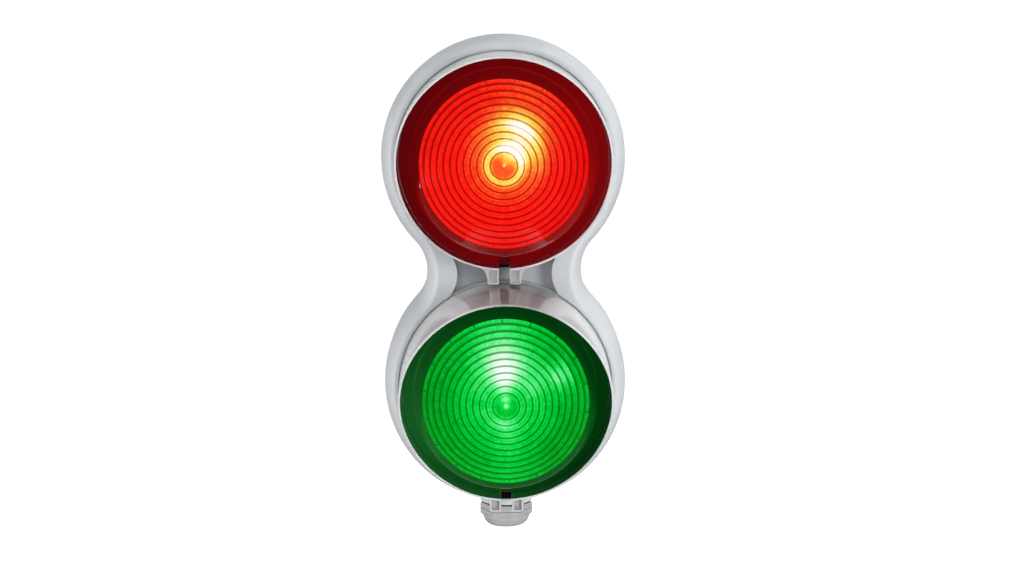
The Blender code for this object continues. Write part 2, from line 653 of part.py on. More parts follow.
# ---------------------------------------------------------------- cable gland
def hexagon(name, low, high, radius, mat, matrix):
    """A hexagon about its own z axis, with corners on its left and right."""
    bm = bmesh.new()
    place = Matrix.Translation((0, 0, (low + high) / 2)) @ Matrix.Rotation(math.radians(30), 4, "Z")
    bmesh.ops.create_cone(bm, cap_ends=True, segments=6, radius1=radius, radius2=radius,
                          depth=high - low, matrix=place)
    return add_object(name, finish_mesh(bm, name), mat, matrix)


def make_gland():
    under = Matrix.Translation((0, -GLAND_DEPTH, 0))
    top, seat = INNER_PAD_Z + 0.0065, PAD_Z - 0.0013
    flange_low, spigot_low = seat - 0.0042, seat - 0.0105
    body = hexagon("gland_body", flange_low, seat, GLAND_HEX_R, GLAND, under)
    stem = turned("gland_stem", [
        (GLAND_THREAD_R - 0.0008, top), (GLAND_THREAD_R, top - 0.0008),
        (GLAND_THREAD_R, spigot_low + 0.0006), (GLAND_THREAD_R - 0.0006, spigot_low),
        (0.0112, spigot_low), (0.0112, flange_low + 0.002), (GLAND_BORE_R, flange_low + 0.004),
        (GLAND_BORE_R, top)], matrix=under, steps=24)
    bore = rods("gland_bore", GLAND_THREAD_R - 0.001, flange_low - OVERRUN, seat + OVERRUN,
                [(0, 0)], matrix=under, steps=24)
    boolean(body, bore, "DIFFERENCE")
    boolean(body, stem, "UNION")
    smooth(body)
    turned("gland_flange_seal", [(0.0165, seat + 0.0010), (0.0165, seat + GAP),
                                 (GLAND_THREAD_R + GAP, seat + GAP),
                                 (GLAND_THREAD_R + GAP, seat + 0.0010)], RUBBER, under, steps=24)
    nut_top = INNER_PAD_Z + 0.0048
    nut = hexagon("gland_locknut", INNER_PAD_Z + GAP, nut_top, 0.0165, GLAND, under)
    nut_bore = rods("locknut_bore", GLAND_THREAD_R + GAP, INNER_PAD_Z - OVERRUN,
                    nut_top + OVERRUN, [(0, 0)], matrix=under, steps=24)
    boolean(nut, nut_bore, "DIFFERENCE")
    turned("gland_insert", [(0.0109, flange_low + 0.0015), (0.0109, spigot_low + 0.0008),
                            (0.0100, spigot_low), (0.0068, spigot_low),
                            (0.0068, flange_low + 0.0015)], RUBBER, under, steps=24)
    turned("gland_clamp_ring", [(0.0118, spigot_low - GAP), (0.0110, spigot_low - 0.0014),
                                (0.0084, spigot_low - 0.0014), (0.0084, spigot_low - GAP)],
           DARK, under, steps=24)

    cap_top, cap_low = flange_low - GAP, -0.1722
    cap = hexagon("gland_cap", cap_top - 0.0042, cap_top, GLAND_HEX_R, GLAND, under)
    skirt = turned("gland_cap_dome", [
        (0.0160, cap_top - 0.0030), (0.0160, cap_top - 0.0044), (0.0154, cap_top - 0.0058),
        (0.0138, cap_top - 0.0086), (0.0118, cap_low + 0.0004), (0.0108, cap_low),
        (0.0080, cap_low), (0.0080, cap_low + 0.0008), (0.0128, cap_low + 0.0026),
        (0.0128, cap_top - 0.0030)], matrix=under, steps=30)
    room = rods("gland_cap_bore", 0.0129, cap_low + 0.0050, cap_top + OVERRUN, [(0, 0)],
                matrix=under, steps=24)
    boolean(cap, room, "DIFFERENCE")
    boolean(cap, skirt, "UNION")
    smooth(cap, angle=25)


make_housing()
make_back_plate()
make_fasteners()
for aspect, where, plastic in (("red", 1, RED), ("green", -1, GREEN)):
    make_board(aspect, where)
    make_lens(aspect, where, plastic)
    make_visor(aspect, where)
make_terminal()
make_wires()
make_gland()
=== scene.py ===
"""Looks of the compact wall signal light: red above green, each under its own clip-on visor.

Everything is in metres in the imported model's frame: the wall is the plane y = 0 and the light looks
along -Y. "Depth" means the distance in front of the wall, so (x, up, depth) lies at (x, -depth, up).
"""

import json
import math

import bmesh
import bpy
from mathutils import Matrix, Vector


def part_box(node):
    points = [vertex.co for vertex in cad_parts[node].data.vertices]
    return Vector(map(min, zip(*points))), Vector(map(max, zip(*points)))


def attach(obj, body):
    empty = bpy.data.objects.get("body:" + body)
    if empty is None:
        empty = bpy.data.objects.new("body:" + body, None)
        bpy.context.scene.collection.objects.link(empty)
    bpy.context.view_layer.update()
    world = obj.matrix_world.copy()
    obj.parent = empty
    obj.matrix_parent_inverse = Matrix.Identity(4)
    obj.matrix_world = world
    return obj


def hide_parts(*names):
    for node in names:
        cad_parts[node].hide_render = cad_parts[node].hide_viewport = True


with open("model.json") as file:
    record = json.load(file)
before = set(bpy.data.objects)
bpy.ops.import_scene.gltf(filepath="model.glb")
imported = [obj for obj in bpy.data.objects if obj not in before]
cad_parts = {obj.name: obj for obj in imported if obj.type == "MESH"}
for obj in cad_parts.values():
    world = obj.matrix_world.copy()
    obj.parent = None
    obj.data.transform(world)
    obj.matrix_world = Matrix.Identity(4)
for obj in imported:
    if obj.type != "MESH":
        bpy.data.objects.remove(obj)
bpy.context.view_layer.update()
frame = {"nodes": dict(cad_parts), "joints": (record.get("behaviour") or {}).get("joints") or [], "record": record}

# ------------------------------------------------ driving dimensions
JOINTS = {joint["name"]: joint for joint in frame["joints"]}
AXIS_Z = JOINTS["red_lens_turn"]["pos_m"][2]
GAP = 0.0003              # play between pieces that fit into each other
PAST = 0.002              # cutters reach this far past the faces that they cut
MM = 1000.0               # shader fields count in millimetres

DISC_R = 0.080            # housing outline: two discs joined by a concave waist
WAIST_HALF = 0.0508
SIDE_DEPTH = 0.022        # the side runs straight from the wall to here
FRONT_DEPTH = 0.056
SHOULDER = 0.009          # width of the rounding between the side and the front face
WALL = 0.0034
BACK_LIP = 0.0015         # thickness of the side round the back plate
BACK_STEP = 0.0038        # and in front of it
STEP_DEPTH = 0.0049       # where the one changes to the other
BOSS_R = 0.0048           # bosses for the back plate's screws
BOSS_HOLE_R = 0.0015
BOSS_END = 0.002          # left at the end of each hole
NOTCH_R = (WAIST_HALF**2 + AXIS_Z**2 - DISC_R**2) / (2 * (DISC_R - WAIST_HALF))
NOTCH_X = WAIST_HALF + NOTCH_R

RECESS_DEPTH = 0.010      # waist recess between the visors
RECESS_HALF = 0.0303      # half its width at the waist
RECESS_SIDE_R = 0.0225    # its left and right edges bulge inwards
RECESS_DISC_R = 0.0701    # its other edges run round the lens axes
RECESS_BACK_R = 0.060     # side arcs of the thicker wall behind it

COLLAR_BORE_R = 0.0600
COLLAR_R = 0.0666
COLLAR_DEPTH = -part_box("housing")[0].y
COLLAR_FOOT = 0.001       # the collar starts this far inside the front face
LUG_COUNT = 3             # bayonet lugs of each lens, and the collar notches that let them out
LUG_WIDTH = 0.013
LUG_THICK = 0.005
LUG_DEPTHS = (0.0493, 0.0523)
LUG_R = 0.0597
NOTCH_SIZE = (0.008, LUG_WIDTH + 0.002, 0.03)
NOTCH_MID_R = 0.0594
UNLOCK_TURN = math.radians(20)

LENS_SKIRT_R = 0.0597
LENS_SKIRT_WALL = 0.0035
LENS_FLANGE_R = 0.0664    # it covers the collar's end
LENS_SIDE_R = 0.0586
LENS_PATTERN_R = 0.0522   # edge of the ringed dome
LENS_TIP_DEPTH = -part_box("red_lens")[0].y
LENS_DOME_R = 0.092
LENS_WALL = 0.0024
SEAL_GROOVE_R = 0.0583    # groove in the skirt for the seal ring
SEAL_GROOVE_DEPTHS = (0.0621, 0.0595)
RING_FIRST_R = 0.0083     # innermost ring groove
RING_PITCH = 0.0041
RING_LAST = 10            # number of grooves outside the innermost one
GROOVE_HALF = 0.00045
GROOVE_DEPTH = 0.00050
RING_SAG = 0.00009        # of the zones between the grooves
PIP_R = 0.0012            # small pip at the tip
PIP_HEIGHT = 0.0004
TICK_STEP = 20            # degrees between the short radial ribs at the dome's edge
TICK_HALF = 0.6           # degrees
TICK_HEIGHT = 0.00035
FIRST_TICKS = {"red": 2, "green": 12}

VISOR_BASE_R = 0.0690
VISOR_RIM_R = 0.0664
VISOR_WALL = 0.0014
VISOR_BASE_DEPTH = -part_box("red_visor")[1].y
VISOR_TOP_DEPTH = -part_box("red_visor")[0].y
VISOR_SIDE_DEPTH = 0.1115
RIM_ROUND = 0.00065       # rounding of the visor's front edge
SLOT_HALF = 0.00365       # the ring is split at the bottom
SHADOW_RADII = (VISOR_BASE_R - 0.0004, VISOR_BASE_R + 0.0008)
SHADOW_GROOVE = 0.0020    # depth of the shadow groove in the housing round the visor's foot
POCKET_R = 0.0668         # drain pocket in the housing under each split: inner radius
POCKET_WIDTH = 0.0068
SLOT_POCKETS = {"red": (0.0026, 0.008), "green": (0.0082, 0.0026)}    # reach outwards, depth
EAR_OUT = 0.01075         # ears beside the split: outer side, end and front
EAR_END_R = 0.0786
EAR_DEPTH = 0.072
EAR_WALL = 0.0010
EAR_CORNER = 0.0006
EAR_FLARE_R = 0.0100      # fillet between an ear and the ring
EAR_WELL = 0.0018         # the ears' front faces are dished this deep

PLATE_SCREW_INSET = 0.0080
LED_CARRIER_TOP = 0.0314  # the lamp packages stand on the carrier above this depth

GLAND_DEPTH = -JOINTS["gland_cap_turn"]["pos_m"][1]
PAD_Z = -0.1560           # round pad under the housing that the gland is screwed to
INNER_PAD_Z = -0.1480
PAD_R = 0.0173
PAD_EDGE = 0.0006
GLAND_HEX_R = 0.0174      # to the corners of both hexagons
GLAND_THREAD_R = 0.0122
THREAD_PITCH = 0.0015
THREAD_TURNS = 9
GLAND_BORE_R = 0.0093
SPIGOT_BORE_R = 0.0112
CAP_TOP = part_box("gland_cap")[1].z
CAP_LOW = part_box("gland_cap")[0].z
CAP_HEX = 0.0046          # height of the cap nut's hexagon
CAP_ROOM_R = 0.0128       # room inside the cap nut, and its mouth
CAP_MOUTH_R = 0.0080

DISC_STEPS = 150          # steps round each disc of the outline
NOTCH_STEPS = 36          # and round each waist arc
ROUND = 180               # steps of a turned shape
FACE_OUT = Matrix.Rotation(math.radians(90), 4, "X")    # takes (x, up, depth) to the frame
GLAND_PLACE = Matrix.Translation((0, -GLAND_DEPTH, 0))
SIDES = {"red": 1, "green": -1}


# ------------------------------------------------ shader fields
def feed(tree, socket, value):
    """Gives a shader socket a field, a colour or a number."""
    if isinstance(value, Field):
        tree.links.new(value.socket, socket)
    elif isinstance(value, tuple):
        socket.default_value = (*value, 1.0)
    else:
        socket.default_value = value


class Field:
    """A value that varies over a surface, so that shader maths reads like ordinary maths."""

    def __init__(self, tree, socket):
        self.tree = tree
        self.socket = socket

    def maths(self, operation, *others):
        node = self.tree.nodes.new("ShaderNodeMath")
        node.operation = operation
        for place, value in enumerate((self, *others)):
            feed(self.tree, node.inputs[place], value)
        return Field(self.tree, node.outputs[0])

    def __add__(self, other):
        return self.maths("ADD", other)

    def __sub__(self, other):
        return self.maths("SUBTRACT", other)

    def __mul__(self, other):
        return self.maths("MULTIPLY", other)

    def __truediv__(self, other):
        return self.maths("DIVIDE", other)

    def __neg__(self):
        return self * -1.0

    __radd__ = __add__

    def rises(self, low, high):
        """0 below low, 1 above high, and a smooth step between; falls when low is above high."""
        node = self.tree.nodes.new("ShaderNodeMapRange")
        node.interpolation_type = "SMOOTHSTEP"
        flip = low > high
        node.inputs["From Min"].default_value = min(low, high)
        node.inputs["From Max"].default_value = max(low, high)
        node.inputs["To Min"].default_value = 1.0 if flip else 0.0
        node.inputs["To Max"].default_value = 0.0 if flip else 1.0
        self.tree.links.new(self.socket, node.inputs["Value"])
        return Field(self.tree, node.outputs["Result"])

    def bump_at(self, middle, width):
        """A bell of height 1 round a middle value."""
        away = (self - middle) / width
        return (-(away * away)).maths("EXPONENT")

    def ramp(self, *stops):
        """Colours at positions, given as (position, colour)."""
        node = self.tree.nodes.new("ShaderNodeValToRGB")
        points = node.color_ramp.elements
        while len(points) < len(stops):
            points.new(0.5)
        for point, (place, colour) in zip(points, stops):
            point.position = place
            point.color = (*colour, 1.0)
        self.tree.links.new(self.socket, node.inputs["Fac"])
        return Field(self.tree, node.outputs["Color"])


class Surface:
    """One procedural material under construction: its coordinates, textures and shader."""

    def __init__(self, name):
        self.mat = bpy.data.materials.new(name)
        self.mat.use_nodes = True
        self.tree = self.mat.node_tree
        self.shader = self.tree.nodes["Principled BSDF"]
        self.coords = self.tree.nodes.new("ShaderNodeTexCoord").outputs["Object"]

    def xyz(self):
        """The object's own x, y and z in millimetres."""
        node = self.tree.nodes.new("ShaderNodeSeparateXYZ")
        self.tree.links.new(self.coords, node.inputs[0])
        return [Field(self.tree, out) * MM for out in node.outputs]

    def noise(self, size_mm, detail=3.0, stretch=(1, 1, 1), distortion=0.0):
        """Noise whose grains are about size_mm across, from 0 to 1."""
        mapping = self.tree.nodes.new("ShaderNodeMapping")
        mapping.inputs["Scale"].default_value = [MM / size_mm / s for s in stretch]
        self.tree.links.new(self.coords, mapping.inputs["Vector"])
        node = self.tree.nodes.new("ShaderNodeTexNoise")
        node.inputs["Scale"].default_value = 1.0
        node.inputs["Detail"].default_value = detail
        node.inputs["Distortion"].default_value = distortion
        self.tree.links.new(mapping.outputs[0], node.inputs["Vector"])
        return Field(self.tree, node.outputs["Fac"])

    def cells(self, size_mm):
        """Voronoi cells: the distance to the nearest cell's middle."""
        node = self.tree.nodes.new("ShaderNodeTexVoronoi")
        node.inputs["Scale"].default_value = MM / size_mm
        self.tree.links.new(self.coords, node.inputs["Vector"])
        return Field(self.tree, node.outputs["Distance"])

    def edges(self):
        """Bright on convex edges of a fine mesh, about 0.5 on flat ground."""
        node = self.tree.nodes.new("ShaderNodeNewGeometry")
        return Field(self.tree, node.outputs["Pointiness"])

    def mix(self, share, one, other):
        """Blends two colours, or two fields, by a share from 0 to 1."""
        node = self.tree.nodes.new("ShaderNodeMix")
        node.data_type = "RGBA"
        for place, value in ((0, share), (6, one), (7, other)):
            feed(self.tree, node.inputs[place], value)
        return Field(self.tree, node.outputs[2])

    def bump(self, *layers):
        """Stacks bumps, each given as (height field, height in millimetres)."""
        under = None
        for height, depth_mm in layers:
            node = self.tree.nodes.new("ShaderNodeBump")
            node.inputs["Strength"].default_value = 1.0
            node.inputs["Distance"].default_value = depth_mm / MM
            self.tree.links.new(height.socket, node.inputs["Height"])
            if under is not None:
                self.tree.links.new(under, node.inputs["Normal"])
            under = node.outputs["Normal"]
        self.tree.links.new(under, self.shader.inputs["Normal"])

    def put(self, **values):
        """Sets shader inputs; Base_Color stands for "Base Color"."""
        for key, value in values.items():
            feed(self.tree, self.shader.inputs[key.replace("_", " ")], value)


def shaded(colour, factor):
    """The colour made lighter or darker."""
    return tuple(min(1.0, c * factor) for c in colour)


def srgb(red, green, blue):
    """Linear colour of a display colour given from 0 to 255."""
    return tuple((c / 255 / 12.92) if c <= 10 else ((c / 255 + 0.055) / 1.055) ** 2.4
                 for c in (red, green, blue))


# ------------------------------------------------ materials
# colour of painted shade, laid where a moulding's shade function says
PAINTED_SHADE_TONE = (0.006, 0.003, 0.003)


def moulded(name, colour, roughness, grain_mm=0.5, grain_depth=0.012, wear=0.35, shade=None):
    """Moulded thermoplastic: cloudy tone, spark-eroded grain, handling scuffs and paler edges.

    A shade is a function that says where painted shade darkens the surface.
    """
    look = Surface(name)
    clouds = look.noise(38, detail=4)
    flow = look.noise(9, detail=5, stretch=(1, 1, 4))
    tone = look.mix((clouds * 0.6 + flow * 0.4).rises(0.3, 0.72), shaded(colour, 0.93),
                    shaded(colour, 1.05))
    worn = look.edges().rises(0.512, 0.56) * look.noise(3.5, detail=6).rises(0.42, 0.6)
    tone = look.mix(worn * wear, tone, shaded(colour, 1.22))
    dust = look.noise(1.4, detail=8).rises(0.66, 0.78) * 0.25
    tone = look.mix(dust, tone, shaded(colour, 0.80))
    rough = look.noise(14, detail=5).rises(0.25, 0.8) * 0.12 + (roughness - 0.05)
    scuffs = look.noise(2.0, detail=7, stretch=(5, 1, 1)).rises(0.62, 0.70) * 0.10
    grain = look.cells(grain_mm)
    look.bump((look.noise(30, detail=2), 0.05), (grain, grain_depth))
    # painted shade where the shade function says
    if shade:
        tone = look.mix(shade(look), tone, PAINTED_SHADE_TONE)
    look.put(Base_Color=tone, Roughness=rough + scuffs, IOR=1.49)
    return look.mat


def painted_split_shade(look):
    """Painted shade: dark inside the two drain pockets, and a greyer strip between the red visor's ears."""
    x, y, z = look.xyz()
    across = x.maths("ABSOLUTE")
    front, slot, pocket = FRONT_DEPTH * MM, SLOT_HALF * MM, POCKET_WIDTH / 2 * MM
    strip_low, strip_full, strip_top = -9, 3.6, 4.1
    # painted shade in a strip between the red visor's ears
    share = across.rises(slot, slot - 0.5) * z.rises(strip_low, strip_full) * 0.55
    share = share * z.rises(strip_top + 0.1, strip_top)
    sunk = (-y).rises(front - 0.1, front - 0.3)
    # painted shadow inside each drain pocket
    for colour, (reach, _) in SLOT_POCKETS.items():
        start = (SIDES[colour] * AXIS_Z - POCKET_R) * MM
        end = start - reach * MM
        along = z.rises(start + 0.1, start) * z.rises(end - 0.1, end)
        share = share + across.rises(pocket + 0.1, pocket) * sunk * along
    return share.maths("MINIMUM", 1.0)


def rubber(name):
    """Black seal rubber with patches of grey bloom."""
    look = Surface(name)
    bloom = look.noise(6, detail=6).rises(0.45, 0.75)
    look.bump((look.noise(0.6, detail=4), 0.02))
    look.put(Base_Color=look.mix(bloom * 0.5, (0.018, 0.018, 0.019), (0.06, 0.06, 0.058)),
             Roughness=bloom * 0.15 + 0.62)
    return look.mat


def zinc(name):
    """Bright zinc plating: faint yellow passivation, fine turning lines and dull spots."""
    look = Surface(name)
    hue = look.noise(2.2, detail=4).rises(0.35, 0.7)
    spots = look.cells(0.9).rises(0.2, 0.7)
    look.bump((look.noise(0.25, detail=2, stretch=(1, 6, 1)), 0.006))
    look.put(Base_Color=look.mix(hue, (0.62, 0.62, 0.60), (0.66, 0.61, 0.47)), Metallic=1.0,
             Roughness=spots * 0.14 + 0.24)
    return look.mat


def circuit_board(name):
    """Green solder resist over copper tracks, with a faint glass weave."""
    look = Surface(name)
    x, _, z = look.xyz()
    tracks = ((x * 1.9).maths("SINE") * (z * 1.3 + x * 0.4).maths("SINE")).rises(0.25, 0.4)
    weave = (x * 8.0).maths("SINE") * (z * 8.0).maths("SINE")
    look.bump((tracks, 0.035), (weave, 0.006))
    resist = look.mix(tracks, (0.010, 0.070, 0.026), (0.020, 0.135, 0.045))
    look.put(Base_Color=look.mix(look.noise(5).rises(0.4, 0.8) * 0.4, resist, (0.02, 0.09, 0.04)),
             Roughness=look.noise(3).rises(0.2, 0.8) * 0.15 + 0.28)
    return look.mat


def led_carrier(name):
    """Pale ceramic carrier; the raised lamp packages are a warmer phosphor yellow."""
    look = Surface(name)
    depth = -look.xyz()[1]
    raised = depth.rises(LED_CARRIER_TOP * MM, LED_CARRIER_TOP * MM + 0.4)
    look.bump((look.noise(0.5), 0.01))
    tone = look.mix(raised, (0.80, 0.80, 0.77), (0.86, 0.66, 0.18))
    look.put(Base_Color=look.mix(look.noise(2).rises(0.4, 0.8) * 0.3, tone, (0.6, 0.57, 0.45)),
             Roughness=look.noise(4).rises(0.2, 0.8) * 0.15 + 0.3)
    return look.mat


def insulation(name, colour):
    """Wire sleeving: faint lengthwise drawing lines and finger marks."""
    look = Surface(name)
    marks = look.noise(4, detail=5).rises(0.4, 0.8)
    look.bump((look.noise(0.35, stretch=(1, 1, 12)), 0.012))
    look.put(Base_Color=look.mix(marks, shaded(colour, 0.8), shaded(colour, 1.25)),
             Roughness=marks * 0.15 + 0.38)
    return look.mat


# painted shadow and an arc of painted red light for the green visor's top
TOP_SHADOW = (0.15, 0.075, 0.07)
PAINTED_RED_LIGHT_ARC = (0.42, 0.09, 0.095)
# grey of the ears, also used as painted shade in the wells of the green visor's ears
EAR_GREY_AND_WELL_SHADE = (0.34, 0.338, 0.352)
# painted shade with painted lens light for the visors' inner faces
INSIDE_SHADE_AND_RED_LIGHT = (0.12, 0.010, 0.012)
INSIDE_SHADE_AND_GREEN_LIGHT = (0.020, 0.075, 0.028)
# painted glow of the inner faces
PAINTED_RED_GLOW = ((0.035, 0.0015, 0.003), (0.085, 0.002, 0.003))       # at the left, and at the right
PAINTED_GREEN_GLOW = ((0.004, 0.045, 0.009), (0.0005, 0.014, 0.002))


def visor_plastic(name, colour):
    """Glossy grey moulding whose inner face has painted shade and painted light in its lens's colour, and a faint
    painted glow.

    The ears are greyer, with painted shade in the wells of the green visor's ears. The top of the green visor has
    a painted shadow, dark and warm, with an arc of painted red light.
    """
    look = Surface(name)
    x, y, z = look.xyz()
    up = z.maths("ABSOLUTE") - AXIS_Z * MM
    radius = (x * x + up * up).maths("SQRT")
    depth = -y
    reach = (depth - VISOR_BASE_DEPTH * MM) / ((VISOR_TOP_DEPTH - VISOR_BASE_DEPTH) * MM)
    outer = VISOR_BASE_R * MM + reach * ((VISOR_RIM_R - VISOR_BASE_R) * MM)
    inside = (outer - radius).rises(VISOR_WALL * MM * 0.92, VISOR_WALL * MM)
    clouds = look.noise(30, detail=4).rises(0.3, 0.72)
    tone = look.mix(clouds, shaded(colour, 0.96), shaded(colour, 1.04))
    tone = look.mix(look.noise(1.5, detail=8).rises(0.66, 0.78) * 0.2, tone, shaded(colour, 0.85))
    # painted shadow, and an arc of painted red light from the red lens, on the green visor's top
    top = z.rises(-24, -9) * z.rises(-4.5, -5.3)
    tone = look.mix(x.bump_at(12, 28) * top * 0.6, tone, TOP_SHADOW)
    tone = look.mix(x.bump_at(4, 26) * top * depth.bump_at(87, 7) * 0.6, tone, PAINTED_RED_LIGHT_ARC)
    ears = radius.rises(VISOR_BASE_R * MM + 0.2, VISOR_BASE_R * MM + 0.6)
    well_floor = (EAR_DEPTH - EAR_WELL) * MM
    # painted shade in the wells of the green visor's ears
    painted_well_shade = depth.rises(well_floor + 0.6, well_floor + 0.2) * z.rises(-100, -130)
    tone = look.mix(ears * (painted_well_shade * 0.36 + 0.30), tone, EAR_GREY_AND_WELL_SHADE)
    # painted shade, painted lens light and a painted glow on the inner faces
    red_one, right = z.rises(-1.0, 1.0), x.rises(-55, 62)
    tone = look.mix(inside, tone, look.mix(red_one, INSIDE_SHADE_AND_GREEN_LIGHT, INSIDE_SHADE_AND_RED_LIGHT))
    glow = look.mix(red_one, look.mix(right, *PAINTED_GREEN_GLOW), look.mix(right, *PAINTED_RED_GLOW))
    glow = look.mix(inside, (0.0, 0.0, 0.0), glow)
    scuffs = look.noise(1.6, detail=7, stretch=(1, 6, 1)).rises(0.6, 0.7) * 0.06
    rough = look.noise(16, detail=4).rises(0.25, 0.8) * 0.05 + 0.08
    look.bump((look.noise(24, detail=2), 0.04))
    look.put(Base_Color=tone, Roughness=rough + scuffs, IOR=1.50, Emission_Color=glow,
             Emission_Strength=1.0)
    return look.mat


# ------------------------------------------------ lens glow and painted highlights
def lens_fields(look, colour):
    """Radius in millimetres, lobe maker, ring count, rib count, and the mask of painted shade on the flange at the
    split.
    """
    x, _, z = look.xyz()
    up = z - SIDES[colour] * AXIS_Z * MM
    radius = (x * x + up * up).maths("SQRT")

    def lobe(degrees, spread):
        """1 along one direction from the axis, falling off sideways over spread degrees."""
        a = math.radians(degrees)
        along = (x * math.cos(a) + up * math.sin(a)) / radius.maths("MAXIMUM", 0.3)
        return ((along - 1.0) / math.radians(spread) ** 2).maths("EXPONENT")

    ring = (radius - RING_FIRST_R * MM) / (RING_PITCH * MM)
    turn = up.maths("ARCTAN2", x) * (180 / math.pi / TICK_STEP)
    split_half, flange_in = SLOT_HALF * MM + 0.05, LENS_SKIRT_R * MM - 0.1
    split = x.maths("ABSOLUTE").rises(split_half + 0.3, split_half) * (-up).rises(
        flange_in, flange_in + 0.3)
    return radius, lobe, ring, turn, split


SPLIT_SHADE = (0.010, 0.002, 0.002)


def lens_plastic(name, colour, tick_share, line_colour, rim_colours, rim_lobe, line_least,
                 glow_stops, glow_and_highlight_at):
    """Tinted polished lens lit from behind: ring lines, glow lobes that are partly painted highlights, painted
    glints and a glossy outer skin.

    Lines and ribs are fainter where the glow is bright. Outside the rings, the rim goes from its
    first colour to its second along rim_lobe.
    """
    look = Surface(name)
    radius, lobe, ring, turn, split = lens_fields(look, colour)
    within = (ring + 0.5).maths("FRACT") - 0.5
    from_line = within.maths("ABSOLUTE") * (RING_PITCH * MM)
    on_rings = radius.rises(6.0, 6.6)
    line = (from_line - radius * 0.009).rises(0.56, 0.10) * on_rings
    # painted glints beside the ring lines
    glint = within.bump_at(0.24, 0.09) * radius.rises(40, 12) * on_rings
    from_tick = (turn - (FIRST_TICKS[colour] / TICK_STEP - 0.5)).maths("FRACT") - 0.5
    edge = LENS_PATTERN_R * MM
    tick_zone = radius.rises(edge - 2.7, edge - 2.2) * radius.rises(edge + 0.2, edge - 0.3)
    tick = from_tick.maths("ABSOLUTE").rises(0.040, 0.018) * tick_zone * tick_share
    facet = (ring.maths("FRACT") - 0.5) * on_rings
    sparkle = look.noise(0.9, detail=6).rises(0.35, 0.75) - 0.5
    streaks = look.noise(5.0, detail=5, distortion=1.5).rises(0.3, 0.7) - 0.5
    # lamp glow, partly painted highlight, with painted glints
    level = glow_and_highlight_at(radius, lobe) + facet * 0.10 + sparkle * 0.11 + streaks * 0.09 + glint * 0.10
    glow = level.ramp(*glow_stops)
    faint = level.rises(1.10, 0.75) * (0.78 - line_least) + line_least
    glow = look.mix(line.maths("MAXIMUM", tick) * faint, glow, line_colour)
    rim = look.mix(lobe(*rim_lobe), *rim_colours)
    # painted shade on the flange at the split
    rim = look.mix(split, rim, SPLIT_SHADE)
    glow = look.mix(radius.rises(edge + 0.2, edge - 0.2), rim, glow)
    look.bump((look.noise(11, detail=2), 0.02))
    look.put(Base_Color=look.mix(look.noise(6).rises(0.3, 0.7), shaded(line_colour, 0.5),
                                 shaded(line_colour, 0.65)),
             Roughness=look.noise(8, detail=5).rises(0.3, 0.8) * 0.06 + 0.06, IOR=1.50,
             Emission_Color=glow, Emission_Strength=1.0)
    return look.mat


def red_glow_and_painted_highlight(radius, lobe):
    """Lamp glow, partly painted highlight: yellow round the hub, a broad white wedge up and to the right, red
    elsewhere.
    """
    base = radius.rises(31, 8) * 0.19 + 0.14
    hub = radius.bump_at(10.6, 2.8) * 0.38
    wedge = lobe(58, 43) * (radius.rises(2, 14) * 0.58 + 0.10) * radius.rises(32, 21)
    crown = lobe(67, 26) * radius.rises(20, 27) * (radius.rises(40, 31) * 0.40 + 0.20)
    middle = lobe(58, 42) * radius.rises(8.6, 6.0) * 0.22
    dot = radius.rises(1.6, 0.5) * 0.28
    shade = lobe(345, 50) * radius.rises(34, 50) * 0.16
    return base + hub + wedge + crown + middle + dot - shade


def green_glow_and_painted_highlight(radius, lobe):
    """Lamp glow, partly painted highlight: a white lobe straight up, softer ones beside it and a faint one below.
    """
    base = radius.rises(38, 8) * 0.12 + 0.32
    top = lobe(94, 18) * radius.rises(9, 17) * (radius.rises(54, 28) * 0.24 + 0.18)
    near = lobe(88, 34) * radius.rises(8, 18) * radius.rises(46, 22) * 0.26
    beside = lobe(33, 13) * radius.rises(13, 20) * radius.rises(40, 30) * 0.13
    patch = lobe(26, 9) * radius.rises(30, 35) * radius.rises(45.5, 44) * 0.28
    low = lobe(262, 26) * radius.bump_at(12.0, 3.6) * 0.26
    column = lobe(273, 13) * radius.rises(12, 20) * 0.11
    hub = radius.rises(2.4, 0.6) * 0.34 + lobe(97, 20) * radius.bump_at(10.0, 2.6) * 0.30
    hub = hub + lobe(92, 24) * radius.bump_at(4.6, 2.2) * 0.40 - radius.bump_at(5.5, 2.0) * 0.10
    shade = (lobe(195, 34) + lobe(320, 34)) * radius.rises(26, 44) * 0.09
    return base + top + near + beside + patch + low + column + hub - shade


RED_STOPS = ((0.0, srgb(226, 12, 12)), (0.20, srgb(247, 34, 22)), (0.42, srgb(247, 104, 42)),
             (0.60, srgb(249, 178, 62)), (0.76, srgb(251, 230, 100)), (0.90, srgb(252, 246, 172)),
             (1.0, srgb(255, 254, 240)))
GREEN_STOPS = ((0.0, srgb(0, 90, 14)), (0.22, srgb(0, 152, 26)), (0.42, srgb(2, 208, 62)),
               (0.60, srgb(70, 238, 120)), (0.78, srgb(164, 247, 182)), (1.0, srgb(244, 255, 248)))

